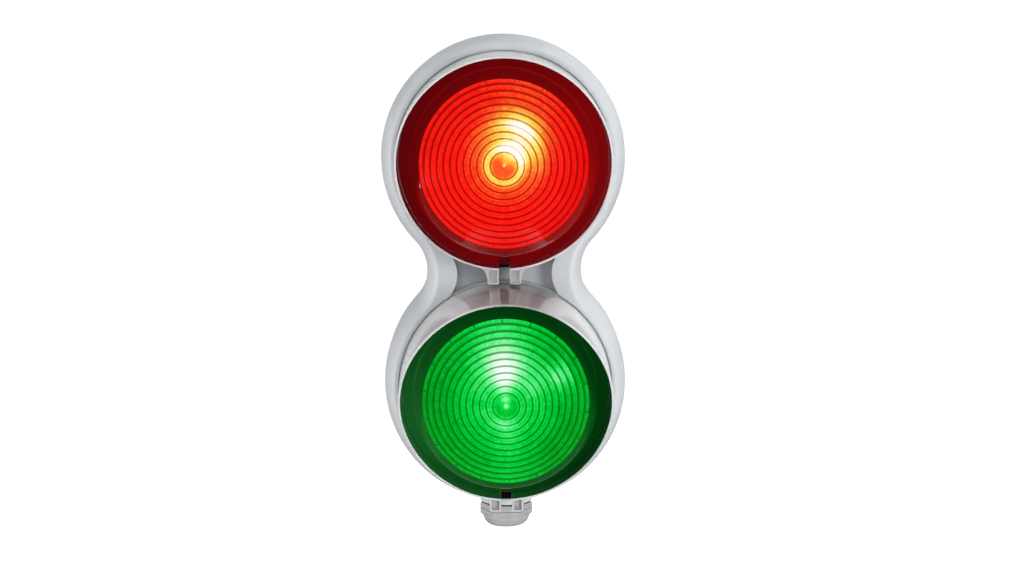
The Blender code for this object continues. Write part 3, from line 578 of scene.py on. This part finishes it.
MATERIALS = {
    "housing_grey": moulded("housing_grey", (0.585, 0.605, 0.625), 0.42, shade=painted_split_shade),
    "plate_grey": moulded("plate_grey", (0.50, 0.51, 0.52), 0.50, grain_mm=0.8, grain_depth=0.02),
    "visor_grey": visor_plastic("visor_grey", (0.68, 0.675, 0.68)),
    "red_lens": lens_plastic(
        "red_lens", "red", tick_share=0.5, line_colour=srgb(128, 2, 0),
        rim_colours=(srgb(84, 4, 7), srgb(112, 6, 9)), rim_lobe=(5, 45), line_least=0.28,
        glow_stops=RED_STOPS, glow_and_highlight_at=red_glow_and_painted_highlight),
    "green_lens": lens_plastic(
        "green_lens", "green", tick_share=0.9, line_colour=srgb(0, 88, 14),
        rim_colours=(srgb(2, 46, 10), srgb(20, 80, 32)), rim_lobe=(195, 32), line_least=0.70,
        glow_stops=GREEN_STOPS, glow_and_highlight_at=green_glow_and_painted_highlight),
    "rubber": rubber("rubber"),
    "steel": zinc("steel"),
    "white_plastic": moulded("white_plastic", (0.82, 0.82, 0.80), 0.30, wear=0.1),
    "board": circuit_board("board"),
    "led": led_carrier("led"),
    "dark_plastic": moulded("dark_plastic", (0.035, 0.035, 0.038), 0.45, wear=0.5),
    "terminal": moulded("terminal", (0.15, 0.16, 0.17), 0.5),
    "wire_brown": insulation("wire_brown", (0.10, 0.040, 0.018)),
    "wire_blue": insulation("wire_blue", (0.022, 0.085, 0.36)),
    "gland_grey": moulded("gland_grey", (0.40, 0.403, 0.407), 0.34, grain_mm=0.6),
}


# ------------------------------------------------ mesh helpers
def new_object(name, bm):
    """Turns a finished bmesh into an object of the scene."""
    bmesh.ops.recalc_face_normals(bm, faces=bm.faces)
    mesh = bpy.data.meshes.new(name)
    bm.to_mesh(mesh)
    bm.free()
    obj = bpy.data.objects.new(name, mesh)
    bpy.context.scene.collection.objects.link(obj)
    return obj


def loft(name, loops, place=FACE_OUT):
    """Skins equal loops of points and caps both ends."""
    bm = bmesh.new()
    rows = [[bm.verts.new(place @ Vector(p)) for p in loop] for loop in loops]
    for near, far in zip(rows, rows[1:]):
        for i in range(len(near)):
            j = (i + 1) % len(near)
            bm.faces.new((near[i], near[j], far[j], far[i]))
    bm.faces.new(rows[0])
    bm.faces.new(rows[-1])
    return new_object(name, bm)


def lathe(name, profile, place, steps=ROUND):
    """Turns a closed (radius, height) profile about z; radius 0 at both ends closes on the axis."""
    bm = bmesh.new()
    poles = profile[0][0] == 0 and profile[-1][0] == 0
    rows = []
    for r, h in profile:
        spots = arc((0, 0), r, 0, math.tau, steps) if r else [(0, 0)]
        rows.append([bm.verts.new(place @ Vector((x, y, h))) for x, y in spots])
    pairs = list(zip(rows, rows[1:])) if poles else list(zip(rows, rows[1:] + rows[:1]))
    for near, far in pairs:
        for i in range(steps):
            j = (i + 1) % steps
            corners = (near[i % len(near)], near[j % len(near)], far[j % len(far)],
                       far[i % len(far)])
            bm.faces.new(dict.fromkeys(corners))      # a pole gives a triangle
    return new_object(name, bm)


def rod(name, radius, low, high, centres, place=FACE_OUT, steps=48):
    """Equal upright cylinders in one mesh, as a cutter or before a union."""
    bm = bmesh.new()
    for x, y in centres:
        spot = place @ Matrix.Translation((x, y, (low + high) / 2))
        bmesh.ops.create_cone(bm, cap_ends=True, segments=steps, radius1=radius, radius2=radius,
                              depth=high - low, matrix=spot)
    return new_object(name, bm)


def boxes(name, places):
    """Boxes given as (size, placing matrix), in one mesh."""
    bm = bmesh.new()
    for size, spot in places:
        bmesh.ops.create_cube(bm, size=1.0, matrix=spot @ Matrix.Diagonal((*size, 1.0)))
    return new_object(name, bm)


def combine(obj, *steps):
    """Applies exact booleans in turn, each given as (operation, tool), and removes the tools."""
    for operation, tool in steps:
        mod = obj.modifiers.new("cut", "BOOLEAN")
        mod.operation = operation
        mod.solver = "EXACT"
        mod.object = tool
    depsgraph = bpy.context.evaluated_depsgraph_get()
    mesh = bpy.data.meshes.new_from_object(obj.evaluated_get(depsgraph))
    obj.modifiers.clear()
    obj.data = mesh
    for _, tool in steps:
        bpy.data.objects.remove(tool, do_unlink=True)
    return obj


def dress(obj, body, slot, *nodes, angle=30):
    """Finishes a piece: smooth shading, material, and the CAD nodes that it stands for."""
    obj.data.materials.clear()
    obj.data.materials.append(MATERIALS[slot])
    obj.data.shade_smooth()
    obj.data.set_sharp_from_angle(angle=math.radians(angle))
    even = obj.modifiers.new("even_normals", "WEIGHTED_NORMAL")
    even.keep_sharp = True
    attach(obj, body)
    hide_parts(*nodes)


def arc(centre, radius, start, end, steps):
    """Points along an arc, without its last point."""
    for i in range(steps):
        a = start + (end - start) * i / steps
        yield centre[0] + radius * math.cos(a), centre[1] + radius * math.sin(a)


def outline(inset):
    """The housing outline moved inwards by inset: disc, waist, disc, waist."""
    join = math.atan2(AXIS_Z, NOTCH_X)
    disc, notch = DISC_R - inset, NOTCH_R + inset
    points = list(arc((0, AXIS_Z), disc, -join, math.pi + join, DISC_STEPS))
    points += arc((-NOTCH_X, 0), notch, join, -join, NOTCH_STEPS)
    points += arc((0, -AXIS_Z), disc, math.pi - join, 2 * math.pi + join, DISC_STEPS)
    points += arc((NOTCH_X, 0), notch, math.pi + join, math.pi - join, NOTCH_STEPS)
    return points


def stacked(outline_at, section):
    """Loops of an outline, one for each (inset, depth) of a section."""
    return [[(x, y, depth) for x, y in outline_at(inset)] for inset, depth in section]


def at_axis(sign):
    """Places (x, up, depth) shapes on the red (1) or the green (-1) lens's axis."""
    return Matrix.Translation((0, 0, sign * AXIS_Z)) @ FACE_OUT


def about(angle, radius, depth):
    """Places a shape at an angle and a radius round a lens's axis."""
    return Matrix.Rotation(angle, 4, "Z") @ Matrix.Translation((radius, 0, depth))


# ------------------------------------------------ housing
def quarter(steps):
    """Sine and 1 - cosine at even steps over a quarter turn."""
    for i in range(steps + 1):
        a = math.radians(90) * i / steps
        yield math.sin(a), 1 - math.cos(a)


def shoulder(inset, top, steps=16):
    """The quarter ellipse from the side wall to the front face, moved inwards by inset."""
    for rise, run in quarter(steps):
        yield inset + SHOULDER * run, SIDE_DEPTH + (top - SIDE_DEPTH) * rise


def recess_points(half, side_r, disc_r):
    """Outline of the waist recess: two side arcs and the arcs round both lens axes."""
    side_x = half + side_r
    apart = math.hypot(side_x, AXIS_Z)
    along = math.atan2(AXIS_Z, side_x)
    side_half = math.acos((side_r**2 + apart**2 - disc_r**2) / (2 * side_r * apart))
    disc_half = math.acos((disc_r**2 + apart**2 - side_r**2) / (2 * disc_r * apart))
    low, tilt = along - side_half, along + disc_half
    points = list(arc((-side_x, 0), side_r, low, -low, 24))
    points += arc((0, -AXIS_Z), disc_r, math.pi - tilt, tilt, 48)
    points += arc((side_x, 0), side_r, math.pi + low, math.pi - low, 24)
    points += arc((0, AXIS_Z), disc_r, -tilt, tilt - math.pi, 48)
    return points


def rounded_recess(lip=0.0005, corner=0.0012):
    """Cutter for the recess: flares over a rounded lip and rounds into the floor."""
    floor = FRONT_DEPTH - RECESS_DEPTH
    section = [(-corner * (1 - rise), floor + corner * run) for rise, run in quarter(5)]
    section += [(lip * run, FRONT_DEPTH - lip + lip * rise) for rise, run in quarter(5)]
    section.append((lip, FRONT_DEPTH + 0.001))

    def grown(grow):
        return recess_points(RECESS_HALF + grow, RECESS_SIDE_R - grow, RECESS_DISC_R - grow)

    return loft("recess", stacked(grown, section))


def plate_screw_places():
    """Middles of the back plate's seven screws, as (x, up)."""
    reach = DISC_R - PLATE_SCREW_INSET
    discs = [(1, a) for a in (10, 90, 170)] + [(-1, a) for a in (-50, -130)]
    round_discs = [(reach * math.cos(math.radians(a)),
                    sign * AXIS_Z + reach * math.sin(math.radians(a))) for sign, a in discs]
    return round_discs + [(side * (WAIST_HALF - PLATE_SCREW_INSET), 0) for side in (-1, 1)]


def gland_rod(name, radius, low, high, steps=72):
    """An upright cylinder on the gland's axis."""
    return rod(name, radius, low, high, [(0, -GLAND_DEPTH)], Matrix.Identity(4), steps)


def lens_seat(colour, here):
    """Boolean steps for one collar: its bore and notches, the shadow groove and drain pocket."""
    edge, root, inner_r, foot = 0.0006, 0.0010, COLLAR_BORE_R - PAST, FRONT_DEPTH - COLLAR_FOOT
    collar = lathe(f"{colour}_collar", [
        (COLLAR_R - edge, COLLAR_DEPTH), (COLLAR_R - edge * 0.3, COLLAR_DEPTH - edge * 0.3),
        (COLLAR_R, COLLAR_DEPTH - edge), (COLLAR_R, FRONT_DEPTH + root),
        (COLLAR_R + root * 0.3, FRONT_DEPTH + root * 0.3), (COLLAR_R + root, FRONT_DEPTH),
        (COLLAR_R + root, foot), (inner_r, foot), (inner_r, COLLAR_DEPTH)], here)
    bore = rod(f"{colour}_bore", COLLAR_BORE_R, FRONT_DEPTH - 0.008, COLLAR_DEPTH + 0.004,
               [(0, 0)], here, ROUND)
    spots = [about(math.tau * i / LUG_COUNT + UNLOCK_TURN, NOTCH_MID_R, COLLAR_DEPTH - 0.005)
             for i in range(LUG_COUNT)]
    notches = boxes(f"{colour}_notches", [(NOTCH_SIZE, here @ spot) for spot in spots])
    (in_r, out_r), low, high = SHADOW_RADII, FRONT_DEPTH - SHADOW_GROOVE, foot + PAST
    groove = lathe(f"{colour}_groove", [(in_r, low), (in_r, high), (out_r, high), (out_r, low)], here)
    reach, deep = SLOT_POCKETS[colour]
    above = 0.001
    middle = (0, -POCKET_R - reach / 2, FRONT_DEPTH + (above - deep) / 2)
    pocket = boxes(f"{colour}_slot_pocket", [((POCKET_WIDTH, reach, deep + above),
                                              here @ Matrix.Translation(middle))])
    return [("UNION", collar), ("DIFFERENCE", bore), ("DIFFERENCE", notches),
            ("DIFFERENCE", groove), ("DIFFERENCE", pocket)]


def make_housing():
    """The housing: shell, cavity with bosses, gland pad, waist recess and the two lens seats."""
    back_edge = [(0.0012, 0.0006), (0.0007, 0.0008), (0.0003, 0.0012), (0.0001, 0.0018), (0, 0.0024)]
    body = loft("housing_shell", stacked(outline, [*back_edge, *shoulder(0, FRONT_DEPTH)]))
    floor = FRONT_DEPTH - WALL
    cavity = loft("cavity", stacked(outline, [
        (BACK_LIP, -0.001), (BACK_LIP, STEP_DEPTH), (BACK_STEP, STEP_DEPTH),
        *shoulder(BACK_STEP, floor, 8)]))
    around = recess_points(RECESS_HALF + 2 * WALL, RECESS_BACK_R, RECESS_DISC_R - WALL)
    keep = loft("recess_wall", [[(x, y, depth) for x, y in around]
                                for depth in (floor - RECESS_DEPTH, FRONT_DEPTH)])
    bosses = rod("bosses", BOSS_R, STEP_DEPTH, SIDE_DEPTH, plate_screw_places())
    inner_pad = gland_rod("inner_pad", PAD_R, PAD_Z, INNER_PAD_Z, 96)
    combine(cavity, ("DIFFERENCE", keep), ("DIFFERENCE", bosses), ("DIFFERENCE", inner_pad))
    outer_pad = lathe("outer_pad", [
        (0, INNER_PAD_Z - 0.001), (PAD_R, INNER_PAD_Z - 0.001), (PAD_R, PAD_Z + PAD_EDGE),
        (PAD_R - PAD_EDGE * 0.3, PAD_Z + PAD_EDGE * 0.3), (PAD_R - PAD_EDGE, PAD_Z), (0, PAD_Z)],
        GLAND_PLACE, 120)
    steps = [("UNION", outer_pad), ("DIFFERENCE", cavity), ("DIFFERENCE", rounded_recess())]
    for colour, sign in SIDES.items():
        steps += lens_seat(colour, at_axis(sign))
    steps.append(("DIFFERENCE", rod("boss_holes", BOSS_HOLE_R, STEP_DEPTH - PAST,
                                    SIDE_DEPTH - BOSS_END, plate_screw_places(), steps=24)))
    steps.append(("DIFFERENCE", gland_rod("gland_hole", GLAND_THREAD_R + GAP, PAD_Z - PAST,
                                          INNER_PAD_Z + PAST)))
    combine(body, *steps)
    dress(body, "housing", "housing_grey", "housing")


# ------------------------------------------------ visors
def rim_depth(angle):
    """How far the visor's front edge stands from the wall, by angle from the right-hand side."""
    reach = VISOR_TOP_DEPTH - VISOR_SIDE_DEPTH
    return VISOR_SIDE_DEPTH + reach * math.sin(math.pi / 2 * math.sin(angle))


def visor_radius(depth):
    """Outer radius, which narrows towards the rim."""
    share = (depth - VISOR_BASE_DEPTH) / (VISOR_TOP_DEPTH - VISOR_BASE_DEPTH)
    return VISOR_BASE_R + (VISOR_RIM_R - VISOR_BASE_R) * share


def visor_section(angle, rows=14):
    """The wall's closed section at one angle: up the inside, over the rim, down the outside."""
    top = rim_depth(angle)
    depths = [VISOR_BASE_DEPTH + (top - RIM_ROUND - VISOR_BASE_DEPTH) * i / rows
              for i in range(rows + 1)]
    section = [(visor_radius(d) - VISOR_WALL, d) for d in depths]
    outer_r, inner_r = visor_radius(top), visor_radius(top) - VISOR_WALL
    for corner, start in ((inner_r + RIM_ROUND, math.pi), (outer_r - RIM_ROUND, math.pi / 2)):
        for i in range(1, 5):
            a = start - math.pi / 2 * i / 5
            section.append((corner + RIM_ROUND * math.cos(a),
                            top - RIM_ROUND + RIM_ROUND * math.sin(a)))
    section += [(visor_radius(d), d) for d in reversed(depths[1:])]
    chamfer = 0.0005
    section += [(VISOR_BASE_R, VISOR_BASE_DEPTH + chamfer),
                (VISOR_BASE_R - chamfer, VISOR_BASE_DEPTH)]
    return [(r * math.cos(angle), r * math.sin(angle), d) for r, d in section]


def ear_outline(side, inset, hollow=False):
    """One ear seen from the front, drawn in by inset; its solid has a flared root."""
    near, far, end = SLOT_HALF + inset, EAR_OUT - inset, EAR_END_R - inset
    points = []
    for x, start in ((near + EAR_CORNER, math.pi), (far - EAR_CORNER, -math.pi / 2)):
        points += arc((x, -end + EAR_CORNER), EAR_CORNER, start, start + math.pi / 2, 5)
    if hollow:
        points += [(far, -VISOR_BASE_R - inset), (near, -VISOR_BASE_R - inset)]
    else:
        root_r = VISOR_BASE_R - 0.0012
        reach = VISOR_BASE_R + EAR_FLARE_R
        hub = (far + EAR_FLARE_R, -math.sqrt(reach**2 - (far + EAR_FLARE_R)**2))
        meets = math.atan2(-hub[1], -hub[0])
        points += arc(hub, EAR_FLARE_R, math.pi, meets, 12)
        outer = -math.acos(hub[0] * VISOR_BASE_R / reach / root_r)
        inner = -math.acos(near / root_r)
        points += arc((0, 0), root_r, outer, inner, 6)
        points.append((near, -math.sqrt(root_r**2 - near**2)))
    return [(side * x, y) for x, y in points]


def make_visor(colour, sign):
    """A visor, split at the bottom, with an ear on each side of the split."""
    here = at_axis(sign)
    trim, steps = math.asin(SLOT_HALF / VISOR_BASE_R), 264
    angles = [-math.pi / 2 + trim + (math.tau - 2 * trim) * i / steps for i in range(steps + 1)]
    visor = loft(f"{colour}_visor_shell", [visor_section(a) for a in angles], place=here)
    edge = 0.0003
    stack = [(0, VISOR_BASE_DEPTH), (0, EAR_DEPTH - edge), (edge * 0.3, EAR_DEPTH - edge * 0.3),
             (edge, EAR_DEPTH)]
    mouth = EAR_WALL - edge * 0.7
    well = [(EAR_WALL, EAR_DEPTH - EAR_WELL), (EAR_WALL, EAR_DEPTH - edge),
            (mouth, EAR_DEPTH + 0.0002), (mouth, EAR_DEPTH + 0.001)]
    cuts = []
    for side in (1, -1):
        ear = stacked(lambda inset: ear_outline(side, inset), stack)
        hollow = stacked(lambda inset: ear_outline(side, inset, hollow=True), well)
        cuts += [("UNION", loft("ear", ear, place=here)),
                 ("DIFFERENCE", loft("hollow", hollow, place=here))]
    combine(visor, *cuts)
    dress(visor, f"{colour}_visor", "visor_grey", f"{colour}_visor", angle=35)


# ------------------------------------------------ lenses
def dome_depth(r):
    """Depth of the lens's smooth dome at a radius."""
    return LENS_TIP_DEPTH - LENS_DOME_R + math.sqrt(LENS_DOME_R**2 - r**2)


def lens_profile():
    """Outer face from the tip over ring grooves, shoulder, side and flange, then the inside."""
    grooves = [RING_FIRST_R + RING_PITCH * k for k in range(RING_LAST + 1)]
    marks = {0.0, LENS_PATTERN_R}
    for centre in grooves:
        marks.update((centre - GROOVE_HALF, centre - GROOVE_HALF * 0.45, centre,
                      centre + GROOVE_HALF * 0.45, centre + GROOVE_HALF))
        marks.update((centre + RING_PITCH * share for share in (0.35, 0.65)))
    marks.update((PIP_R / 2, PIP_R, 0.0024, 0.0040, 0.0060))
    outer = []
    for r in sorted(m for m in marks if m <= LENS_PATTERN_R):
        away = min(abs(r - centre) for centre in grooves) / GROOVE_HALF
        cut = GROOVE_DEPTH * max(0.0, 1 - away**1.5)
        sag = RING_SAG * math.sin(math.pi * ((r - RING_FIRST_R) / RING_PITCH % 1)) ** 2
        pip = PIP_HEIGHT * max(0.0, 1 - r / PIP_R)
        outer.append((r, dome_depth(r) - cut - sag - PIP_HEIGHT + pip))
    slope = math.asin(LENS_PATTERN_R / LENS_DOME_R)
    bend = (LENS_SIDE_R - LENS_PATTERN_R) / (1 - math.sin(slope))
    centre_r = LENS_SIDE_R - bend
    centre_z = dome_depth(LENS_PATTERN_R) - bend * math.cos(slope)
    for i in range(17):
        a = slope + (math.pi / 2 - slope) * i / 16
        apart = 0.00004 if i == 0 else 0          # from the dome's last point
        outer.append((centre_r + bend * math.sin(a) + apart, centre_z + bend * math.cos(a)))
    low = COLLAR_DEPTH + GAP
    side = [(LENS_SIDE_R + 0.0003, low + 0.0120), (LENS_SKIRT_R - 0.0003, low + 0.0034),
            (LENS_SKIRT_R + 0.0003, low + 0.0024), (LENS_SKIRT_R + 0.0012, low + 0.0020),
            (LENS_FLANGE_R - 0.0006, low + 0.0020), (LENS_FLANGE_R - 0.0002, low + 0.0018),
            (LENS_FLANGE_R, low + 0.0014), (LENS_FLANGE_R, low), (LENS_SKIRT_R, low)]
    front, back = SEAL_GROOVE_DEPTHS
    groove = [(LENS_SKIRT_R, front), (SEAL_GROOVE_R, front), (SEAL_GROOVE_R, back),
              (LENS_SKIRT_R, back)]
    skirt_in = LENS_SKIRT_R - LENS_SKIRT_WALL
    skirt = [(LENS_SKIRT_R, LUG_DEPTHS[0]), (skirt_in, LUG_DEPTHS[0]), (skirt_in, low)]
    share = 1 - LENS_WALL / LENS_SIDE_R
    plain = [(r, dome_depth(r)) for r in (LENS_PATTERN_R * i / 12 for i in range(13))]
    inner = [(r * share, z - LENS_WALL) for r, z in plain + outer[-12::3]]
    return [*outer, *side, *groove, *skirt, *reversed(inner)]


def make_lens(colour, sign):
    """A ringed lens: the radial ribs are raised and the bayonet lugs joined after turning it."""
    here = at_axis(sign)
    lens = lathe(f"{colour}_ringed_lens", lens_profile(), here, 360)
    inner_edge = RING_FIRST_R + RING_PITCH * RING_LAST + GROOVE_HALF
    back = here.inverted()
    for vert in lens.data.vertices:
        x, y, depth = back @ vert.co
        r = math.hypot(x, y)
        turn = (math.degrees(math.atan2(y, x)) - FIRST_TICKS[colour]) % TICK_STEP
        on_rib = min(turn, TICK_STEP - turn) < TICK_HALF
        outside = depth > dome_depth(r) - LENS_WALL + 0.0004
        if inner_edge < r < LENS_PATTERN_R + 0.0001 and on_rib and outside:
            vert.co = here @ Vector((x, y, depth + TICK_HEIGHT))
    lugs = [((LUG_THICK, LUG_WIDTH, LUG_DEPTHS[1] - LUG_DEPTHS[0]),
             here @ about(math.tau * i / LUG_COUNT, LUG_R, sum(LUG_DEPTHS) / 2))
            for i in range(LUG_COUNT)]
    combine(lens, ("UNION", boxes("lugs", lugs)))
    dress(lens, f"{colour}_lens", f"{colour}_lens", f"{colour}_lens", angle=40)


# ------------------------------------------------ cable gland
def hex_nut(name, low, high, chamfer_top, chamfer_low):
    """A hexagon on the gland's axis whose corners are turned off above, below or both."""
    corners = list(arc((0, 0), GLAND_HEX_R, 0, math.tau, 6))
    nut = loft(name, [[(x, y, z) for x, y in corners] for z in (low, high)], place=GLAND_PLACE)
    flat_r = GLAND_HEX_R * math.cos(math.pi / 6)
    wide = GLAND_HEX_R + 0.0004
    drop = (wide - flat_r) * 0.55
    cone = lathe("cone", [
        (0, high), (flat_r if chamfer_top else wide, high),
        (wide, high - drop if chamfer_top else high - 0.0001),
        (wide, low + drop if chamfer_low else low + 0.0001),
        (flat_r if chamfer_low else wide, low), (0, low)], GLAND_PLACE)
    return combine(nut, ("INTERSECT", cone))


def make_gland():
    """The gland's body with rings for a thread, and its domed cap nut."""
    top, seat = INNER_PAD_Z + 0.0065, PAD_Z - 0.0013
    flange_low, spigot_low = seat - 0.0042, seat - 0.0105
    body = hex_nut("gland_hex_body", flange_low, seat, True, False)
    root_r = GLAND_THREAD_R - 0.0006
    thread = []
    for i in range(THREAD_TURNS):
        h = top - 0.0008 - THREAD_PITCH * i
        thread += [(GLAND_THREAD_R, h), (GLAND_THREAD_R, h - 0.0003), (root_r, h - 0.0007),
                   (root_r, h - 0.0010)]
    stem = lathe("stem", [(GLAND_THREAD_R - 0.0008, top), *thread, (GLAND_THREAD_R, flange_low),
                          (GLAND_THREAD_R, spigot_low + 0.0006), (root_r, spigot_low),
                          (SPIGOT_BORE_R, spigot_low), (SPIGOT_BORE_R, flange_low + 0.002),
                          (GLAND_BORE_R, flange_low + 0.004), (GLAND_BORE_R, top)],
                 GLAND_PLACE, 72)
    bore = gland_rod("bore", GLAND_THREAD_R - 0.001, flange_low - PAST, seat + PAST)
    combine(body, ("DIFFERENCE", bore), ("UNION", stem))
    dress(body, "housing", "gland_grey", "gland_body")

    cap = hex_nut("gland_dome_cap", CAP_TOP - CAP_HEX, CAP_TOP, False, True)
    room = gland_rod("room", CAP_ROOM_R + 0.0001, CAP_LOW + 0.0050, CAP_TOP + PAST)
    wall_top = CAP_TOP - 0.0030
    # radii with distances under the top, then with heights over the bottom
    dome = ((0.0155, 0.0048), (0.0153, 0.0055), (0.0150, 0.0063), (0.0145, 0.0074),
            (0.0138, 0.0086))
    bottom = ((0.0128, 0.0009), (0.0122, 0.0005), (0.0114, 0.0001), (0.0108, 0), (0.0084, 0),
              (CAP_MOUTH_R, 0.0003), (CAP_MOUTH_R, 0.0008), (CAP_ROOM_R, 0.0026))
    skirt = lathe("skirt", [(dome[0][0], wall_top), *((r, CAP_TOP - under) for r, under in dome),
                            *((r, CAP_LOW + over) for r, over in bottom), (CAP_ROOM_R, wall_top)],
                  GLAND_PLACE, 120)
    combine(cap, ("DIFFERENCE", room), ("UNION", skirt))
    dress(cap, "gland_cap", "gland_grey", "gland_cap")


# ------------------------------------------------ stage
BACKDROP_R = 11.0
FLOOR_Z = -0.75
CAMERA_PLACE = (-0.0063, -1.2391, 0.1507)
CAMERA_LENS = 65.21       # millimetres
CAMERA_TURNS = (7.586, 0.478, -0.497)     # downward tilt, pan to the right and roll, in degrees
ORIGIN = (0, 0, 0)
LIGHTS = (                # name, place, aim, size, watts, and whether glossy faces mirror it
    ("key", (1.6, -0.75, 0.25), ORIGIN, (0.8, 1.2), 4),
    ("low_right", (1.1, -1.3, 0.05), ORIGIN, (0.5, 0.6), 12),
    ("top", (0.6, 0.0, 1.2), (0, -0.05, 0.1), (1.2, 0.5), 13),
    ("front", (-0.3, -1.75, 0.3), ORIGIN, (0.9, 0.9), 6),
    ("left", (-1.45, -0.65, -0.05), ORIGIN, (0.35, 0.9), 18),
    ("left_strip", (-1.7, -0.2, 0.0), ORIGIN, (0.25, 1.0), 5, True),
    ("bounce", (1.0, -0.9, -1.1), (0, 0, -0.1), (1.0, 0.8), 16),
    ("back", (0.7, 1.7, 0.7), ORIGIN, (1.2, 1.2), 22),
)


def make_stage():
    """A pale floor and a white backdrop that only the camera sees."""
    look = Surface("pale_floor")
    look.bump((look.noise(60, detail=3), 0.2))
    look.put(Base_Color=look.mix(look.noise(400).rises(0.3, 0.7), (0.90, 0.90, 0.90),
                                 (0.93, 0.93, 0.93)), Roughness=0.6,
             Emission_Color=(1.0, 1.0, 1.0), Emission_Strength=0.97)
    bm = bmesh.new()
    bmesh.ops.create_circle(bm, cap_ends=True, segments=96, radius=BACKDROP_R - 0.1,
                            matrix=Matrix.Translation((0, 0, FLOOR_Z)))
    floor = new_object("floor", bm)
    floor.data.materials.append(look.mat)
    bm = bmesh.new()
    bmesh.ops.create_uvsphere(bm, u_segments=48, v_segments=24, radius=BACKDROP_R)
    dome = new_object("backdrop", bm)
    white = Surface("backdrop")
    white.put(Emission_Color=(1.0, 1.0, 1.0), Emission_Strength=1.0)
    dome.data.materials.append(white.mat)
    for obj in (floor, dome):
        obj.visible_diffuse = False
        obj.visible_glossy = False
        obj.visible_transmission = False
        obj.visible_shadow = False


def make_world():
    """White tent behind and beside the light, dark on the side that it shines at."""
    world = bpy.data.worlds.new("studio")
    world.use_nodes = True
    tree = world.node_tree
    split = tree.nodes.new("ShaderNodeSeparateXYZ")
    coords = tree.nodes.new("ShaderNodeTexCoord").outputs["Generated"]
    tree.links.new(coords, split.inputs[0])
    across, along, up = [Field(tree, out) for out in split.outputs]
    tent = along.rises(-0.55, 0.10) * (up * 0.6 + across * 0.3 + 3.0) + 0.06
    tree.links.new(tent.socket, tree.nodes["Background"].inputs["Strength"])
    bpy.context.scene.world = world


def make_light(name, place, aim, size, power, glossy=False):
    """An area light; glossy faces mirror it only if told to."""
    data = bpy.data.lights.new(name, "AREA")
    data.shape = "RECTANGLE"
    data.size, data.size_y = size
    data.energy = power
    lamp = bpy.data.objects.new(name, data)
    lamp.location = place
    lamp.rotation_euler = (Vector(aim) - Vector(place)).to_track_quat("-Z", "Y").to_euler()
    lamp.visible_glossy = glossy
    bpy.context.scene.collection.objects.link(lamp)


def make_camera():
    """A long lens a little above the light, looking slightly down at it."""
    data = bpy.data.cameras.new("camera")
    data.sensor_width = 36.0
    data.lens = CAMERA_LENS
    camera = bpy.data.objects.new("camera", data)
    tilt, pan, roll = [math.radians(angle) for angle in CAMERA_TURNS]
    turn = (Matrix.Rotation(-pan, 4, "Z") @ Matrix.Rotation(math.pi / 2 - tilt, 4, "X")
            @ Matrix.Rotation(roll, 4, "Z"))
    camera.matrix_world = Matrix.Translation(CAMERA_PLACE) @ turn
    bpy.context.scene.collection.objects.link(camera)
    bpy.context.scene.camera = camera


def dress_cad_nodes():
    """Every CAD node takes the procedural material of its slot."""
    for part in frame["record"]["subparts"]:
        node = frame["nodes"][part["node"]]
        mat = MATERIALS[part["material_slot"]]
        if node.material_slots:
            node.material_slots[0].material = mat
        else:
            node.data.materials.append(mat)


make_camera()
make_stage()
make_world()
for light in LIGHTS:
    make_light(*light)
bpy.context.scene.view_settings.view_transform = "Standard"
dress_cad_nodes()
make_housing()
for side_colour, side_sign in SIDES.items():
    make_visor(side_colour, side_sign)
for side_colour, side_sign in SIDES.items():
    make_lens(side_colour, side_sign)
make_gland()
